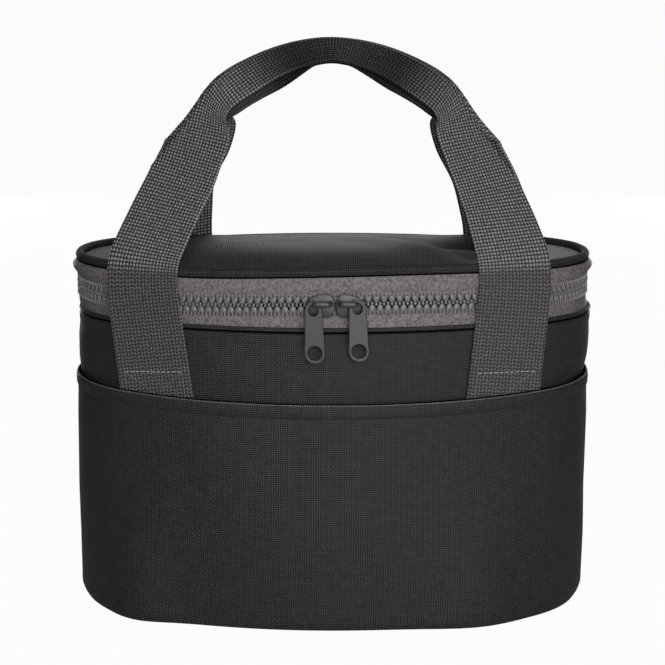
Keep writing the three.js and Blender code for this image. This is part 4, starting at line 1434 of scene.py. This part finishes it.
def slider_body():
    """Front and back plates, the bridge over the front one and the post between them."""
    front = plate(slider_outline(), 1.7, 3.2, 0.55, crown=0.25)
    back = plate(slider_outline() * 0.96, -3.1, -1.7, 0.5)
    path = np.array([[5.0, 0, 3.0], [5.0, 0, 6.4], [4.6, 0, 7.6], [3.6, 0, 8.3], [0.5, 0, 8.5],
                     [-2.0, 0, 8.3], [-3.0, 0, 7.6], [-3.4, 0, 6.4], [-3.4, 0, 3.0]])
    path = along_path(np.linspace(0, len(path) - 1, 33), np.arange(len(path)), path)
    bridge = tube(path + [0.0, 0.5, 0.0], 0.8, sides=12, flat=1.8, facing=(0, 1, 0))
    post = tube(np.array([[4.6, 0, -2.0], [4.6, 0, 0.0], [4.6, 0, 2.0]]), 0.9, sides=8, facing=(0, 1, 0))
    return [front, back, bridge, post]


class BAG_OT_sliders(bpy.types.Operator):
    """Both zip sliders"""

    bl_idname = "lunch_bag.sliders"
    bl_label = "Sliders"

    def execute(self, context):
        for name, side in (("left_slider", -1), ("right_slider", 1)):
            parts = [placed(part, side) for part in slider_body()]
            piece(f"{name}_metal", parts, "painted_metal", name, [name], METAL_SHARP)
        return {"FINISHED"}


# A pull tab, in mm from the place where it hangs: radius and middle of its two round ends, and half
# the width, half the height and the middle of its two holes.
TAB_TOP = (3.7, -1.0)
TAB_FOOT = (4.5, -22.2)
TAB_EYE = (2.75, 3.2, -1.3)
TAB_HOLE = (3.9, 3.9, -22.0)


def tab_curve(name):
    """A pull tab as a flat curve: a long rounded outline with an eye at the top and a round hole."""
    flat = bpy.data.curves.new(name, "CURVE")
    flat.dimensions = "2D"
    flat.fill_mode = "BOTH"
    flat.extrude = 0.25 * MM
    flat.bevel_depth = 0.45 * MM
    flat.bevel_resolution = 3
    arc = np.linspace(0, np.pi, 25)
    circle = np.linspace(0, 2 * np.pi, 40, endpoint=False)
    level = np.concatenate([TAB_TOP[0] * np.cos(arc), -TAB_FOOT[0] * np.cos(arc)])
    top, foot = TAB_TOP[1] + TAB_TOP[0] * np.sin(arc), TAB_FOOT[1] - TAB_FOOT[0] * np.sin(arc)
    outlines = [(level, np.concatenate([top, foot]))]
    for half_width, half_height, middle in (TAB_EYE, TAB_HOLE):
        outlines.append((half_width * np.cos(circle), middle + half_height * np.sin(circle)))
    for x, y in outlines:
        spline = flat.splines.new("POLY")
        spline.points.add(len(x) - 1)
        corners = np.stack([x, y, np.zeros_like(x), np.full_like(x, 1 / MM)], axis=-1) * MM
        spline.points.foreach_set("co", corners.ravel())
        spline.use_cyclic_u = True
    return flat


# Where each tab hangs on its slider, in mm to the nose, up and out, and its slant to the right.
TAB_PLACE = {-1: (-3.4, -1.3, 6.5), 1: (-3.4, -0.4, 6.5)}
TAB_SLANT = 0.035


def pull_tab(name, side):
    """The tab's flat curve made a mesh, turned upright on its slider and put in front of it."""
    holder = bpy.data.objects.new(name, tab_curve(name))
    bpy.context.scene.collection.objects.link(holder)
    graph = bpy.context.evaluated_depsgraph_get()
    mesh = bpy.data.meshes.new_from_object(holder.evaluated_get(graph))
    bpy.data.objects.remove(holder)
    points = np.empty(len(mesh.vertices) * 3, np.float32)
    mesh.vertices.foreach_get("co", points)
    origin, axes = slider_place(side)
    local = points.reshape(-1, 3) / MM
    local[:, 0] += side * TAB_SLANT * local[:, 1]
    local += TAB_PLACE[side]
    if side > 0:
        mesh.flip_normals()
    mesh.vertices.foreach_set("co", ((origin + local @ axes.T) * MM).astype(np.float32).ravel())
    return mesh


class BAG_OT_pull_tabs(bpy.types.Operator):
    """Both pull tabs"""

    bl_idname = "lunch_bag.pull_tabs"
    bl_label = "Pull tabs"

    def execute(self, context):
        for name, side in (("left_pull_tab", -1), ("right_pull_tab", 1)):
            shown = f"{name}_metal"
            mesh = pull_tab(shown, side)
            dressed(shown, mesh, "painted_metal", name, [name], METAL_SHARP)
        return {"FINISHED"}


# The camera of the photo: its place in metres, how far it looks down in radians, and its focal length
# and the picture's width in pixels.
CAMERA_PLACE = (0.0, -1.5, 0.3879)
CAMERA_TILT = 0.167
CAMERA_FOCUS = 3001
PHOTO_WIDTH = 665
SENSOR_WIDTH = 36.0

# Half the floor's width, in metres.
FLOOR_REACH = 6.0

# Lamps: name, place, width and height in metres, and watts. All point at one place.
LAMPS = (
    ("front_lamp", (0.16, -1.55, 0.45), 0.7, 0.7, 12.5),
    ("right_lamp", (0.7, -1.4, 0.25), 0.7, 0.45, 5.5),
    ("high_lamp", (-0.2, -1.2, 1.2), 0.7, 0.7, 6.0),
    ("back_lamp", (0.32, 1.15, 1.2), 0.7, 0.7, 4.5),
    ("rear_left_lamp", (-0.55, 1.6, 0.1), 0.4, 0.12, 4.0),
    ("rear_right_lamp", (0.55, 1.6, 0.1), 0.4, 0.12, 4.0),
)
LAMP_TARGET = (0.0, 0.0, 0.13)

# Shares of white: the floor seen directly, the floor in a mirror ray, and the room's own light.
FLOOR_GLOW = 0.97
FLOOR_MIRRORED = 0.05
ROOM_LIGHT = 0.02
# The backdrop in a mirror ray: it fades out between two sines of elevation, and to the sides
# between two cosines of the angle from straight behind.
BACKDROP_TOP = (0.45, 0.75)
BACKDROP_SIDES = (0.75, 0.97)


def soft_box(name, place, width, height, watts):
    """A rectangular lamp that points at the lamps' target."""
    lamp = bpy.data.lights.new(name, "AREA")
    lamp.shape = "RECTANGLE"
    lamp.size = width
    lamp.size_y = height
    lamp.energy = watts
    made = bpy.data.objects.new(name, lamp)
    made.location = place
    away = Vector(LAMP_TARGET) - Vector(place)
    made.rotation_euler = away.to_track_quat("-Z", "Y").to_euler()
    bpy.context.scene.collection.objects.link(made)


def photo_camera():
    """The camera at the photograph's angle."""
    lens = bpy.data.cameras.new("photo_camera")
    lens.sensor_width = SENSOR_WIDTH
    lens.lens = SENSOR_WIDTH * CAMERA_FOCUS / PHOTO_WIDTH
    camera = bpy.data.objects.new("photo_camera", lens)
    camera.location = CAMERA_PLACE
    camera.rotation_euler = (np.pi / 2 - CAMERA_TILT, 0.0, 0.0)
    bpy.context.scene.collection.objects.link(camera)
    return camera


def pale_floor(colour):
    """Floor: matt, and mostly plain white where it is seen directly, so that the shadow stays."""
    finish = Finish("pale_floor", Base_Color=colour, Roughness=0.9, Specular_IOR_Level=0.0)
    glow = finish.node("ShaderNodeEmission").outputs[0]
    share = finish.math("MULTIPLY", finish.seen_directly(FLOOR_MIRRORED), FLOOR_GLOW)
    both = finish.node("ShaderNodeMixShader", share, finish.shader.outputs[0], glow)
    finish.feed(both.outputs[0], finish.tree.nodes["Material Output"].inputs["Surface"])
    return finish.material


def floor_sheet():
    """A square floor round the origin."""
    corners = np.array([(-1, -1, 0), (1, -1, 0), (1, 1, 0), (-1, 1, 0)]) * FLOOR_REACH
    mesh = bpy.data.meshes.new("floor")
    mesh.from_pydata(corners.tolist(), [], [(0, 1, 2, 3)])
    mesh.materials.append(pale_floor(colours().floor))
    floor = bpy.data.objects.new("floor", mesh)
    bpy.context.scene.collection.objects.link(floor)
    return floor


def white_backdrop():
    """Surroundings: white where they are seen directly, a white backdrop behind the object in mirror
    rays, and dim for the light on the object."""
    world = bpy.data.worlds.new("white_backdrop")
    world.use_nodes = True
    nodes = Nodes(world.node_tree)
    direction = nodes.node("ShaderNodeTexCoord").outputs["Generated"]
    split = nodes.node("ShaderNodeSeparateXYZ", direction).outputs
    below_top = nodes.math("SUBTRACT", 1.0, nodes.ramp(split[2], *BACKDROP_TOP))
    behind = nodes.ramp(split[1], *BACKDROP_SIDES)
    white = nodes.seen_directly(nodes.math("MULTIPLY", below_top, behind))
    background = world.node_tree.nodes["Background"]
    nodes.feed((1, 1, 1, 1), background.inputs["Color"])
    strength = nodes.math("MULTIPLY_ADD", white, 1 - ROOM_LIGHT, ROOM_LIGHT)
    nodes.feed(strength, background.inputs["Strength"])
    return world


class BAG_OT_stage(bpy.types.Operator):
    """Floor, lamps, white surroundings and the camera at the photograph's angle"""

    bl_idname = "lunch_bag.stage"
    bl_label = "Stage"

    def execute(self, context):
        scene = context.scene
        scene.view_settings.view_transform = "Standard"
        scene.camera = photo_camera()
        floor_sheet()
        scene.world = white_backdrop()
        for lamp in LAMPS:
            soft_box(*lamp)
        return {"FINISHED"}


PIECES = (
    BAG_OT_stage,
    BAG_OT_body_cloth,
    BAG_OT_pocket,
    BAG_OT_lining,
    BAG_OT_zip_tapes,
    BAG_OT_zip_teeth,
    BAG_OT_hinge_cloth,
    BAG_OT_lid,
    BAG_OT_handles,
    BAG_OT_sliders,
    BAG_OT_pull_tabs,
)


class BAG_PT_sidebar(bpy.types.Panel):
    """Sizes, colours and pieces of the bag"""

    bl_idname = "BAG_PT_sidebar"
    bl_label = "Lunch bag"
    bl_space_type = "VIEW_3D"
    bl_region_type = "UI"
    bl_category = "Lunch bag"

    def draw(self, context):
        for group in (context.scene.bag_colours, context.scene.bag_sizes):
            for name in group.bl_rna.properties.keys():
                if name not in ("rna_type", "name"):
                    self.layout.prop(group, name)
        for made in PIECES:
            self.layout.operator(made.bl_idname)


CLASSES = (BagColours, BagSizes, *PIECES, BAG_PT_sidebar)


def register():
    """Adds the classes and the scene's own colours and sizes of the bag."""
    for made in CLASSES:
        bpy.utils.register_class(made)
    bpy.types.Scene.bag_colours = bpy.props.PointerProperty(type=BagColours)
    bpy.types.Scene.bag_sizes = bpy.props.PointerProperty(type=BagSizes)


def unregister():
    """Takes away what register adds."""
    del bpy.types.Scene.bag_sizes
    del bpy.types.Scene.bag_colours
    for made in reversed(CLASSES):
        bpy.utils.unregister_class(made)


def main():
    """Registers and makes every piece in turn."""
    register()
    for made in PIECES:
        group, name = made.bl_idname.split(".")
        getattr(getattr(bpy.ops, group), name)()


if __name__ == "__main__":
    main()
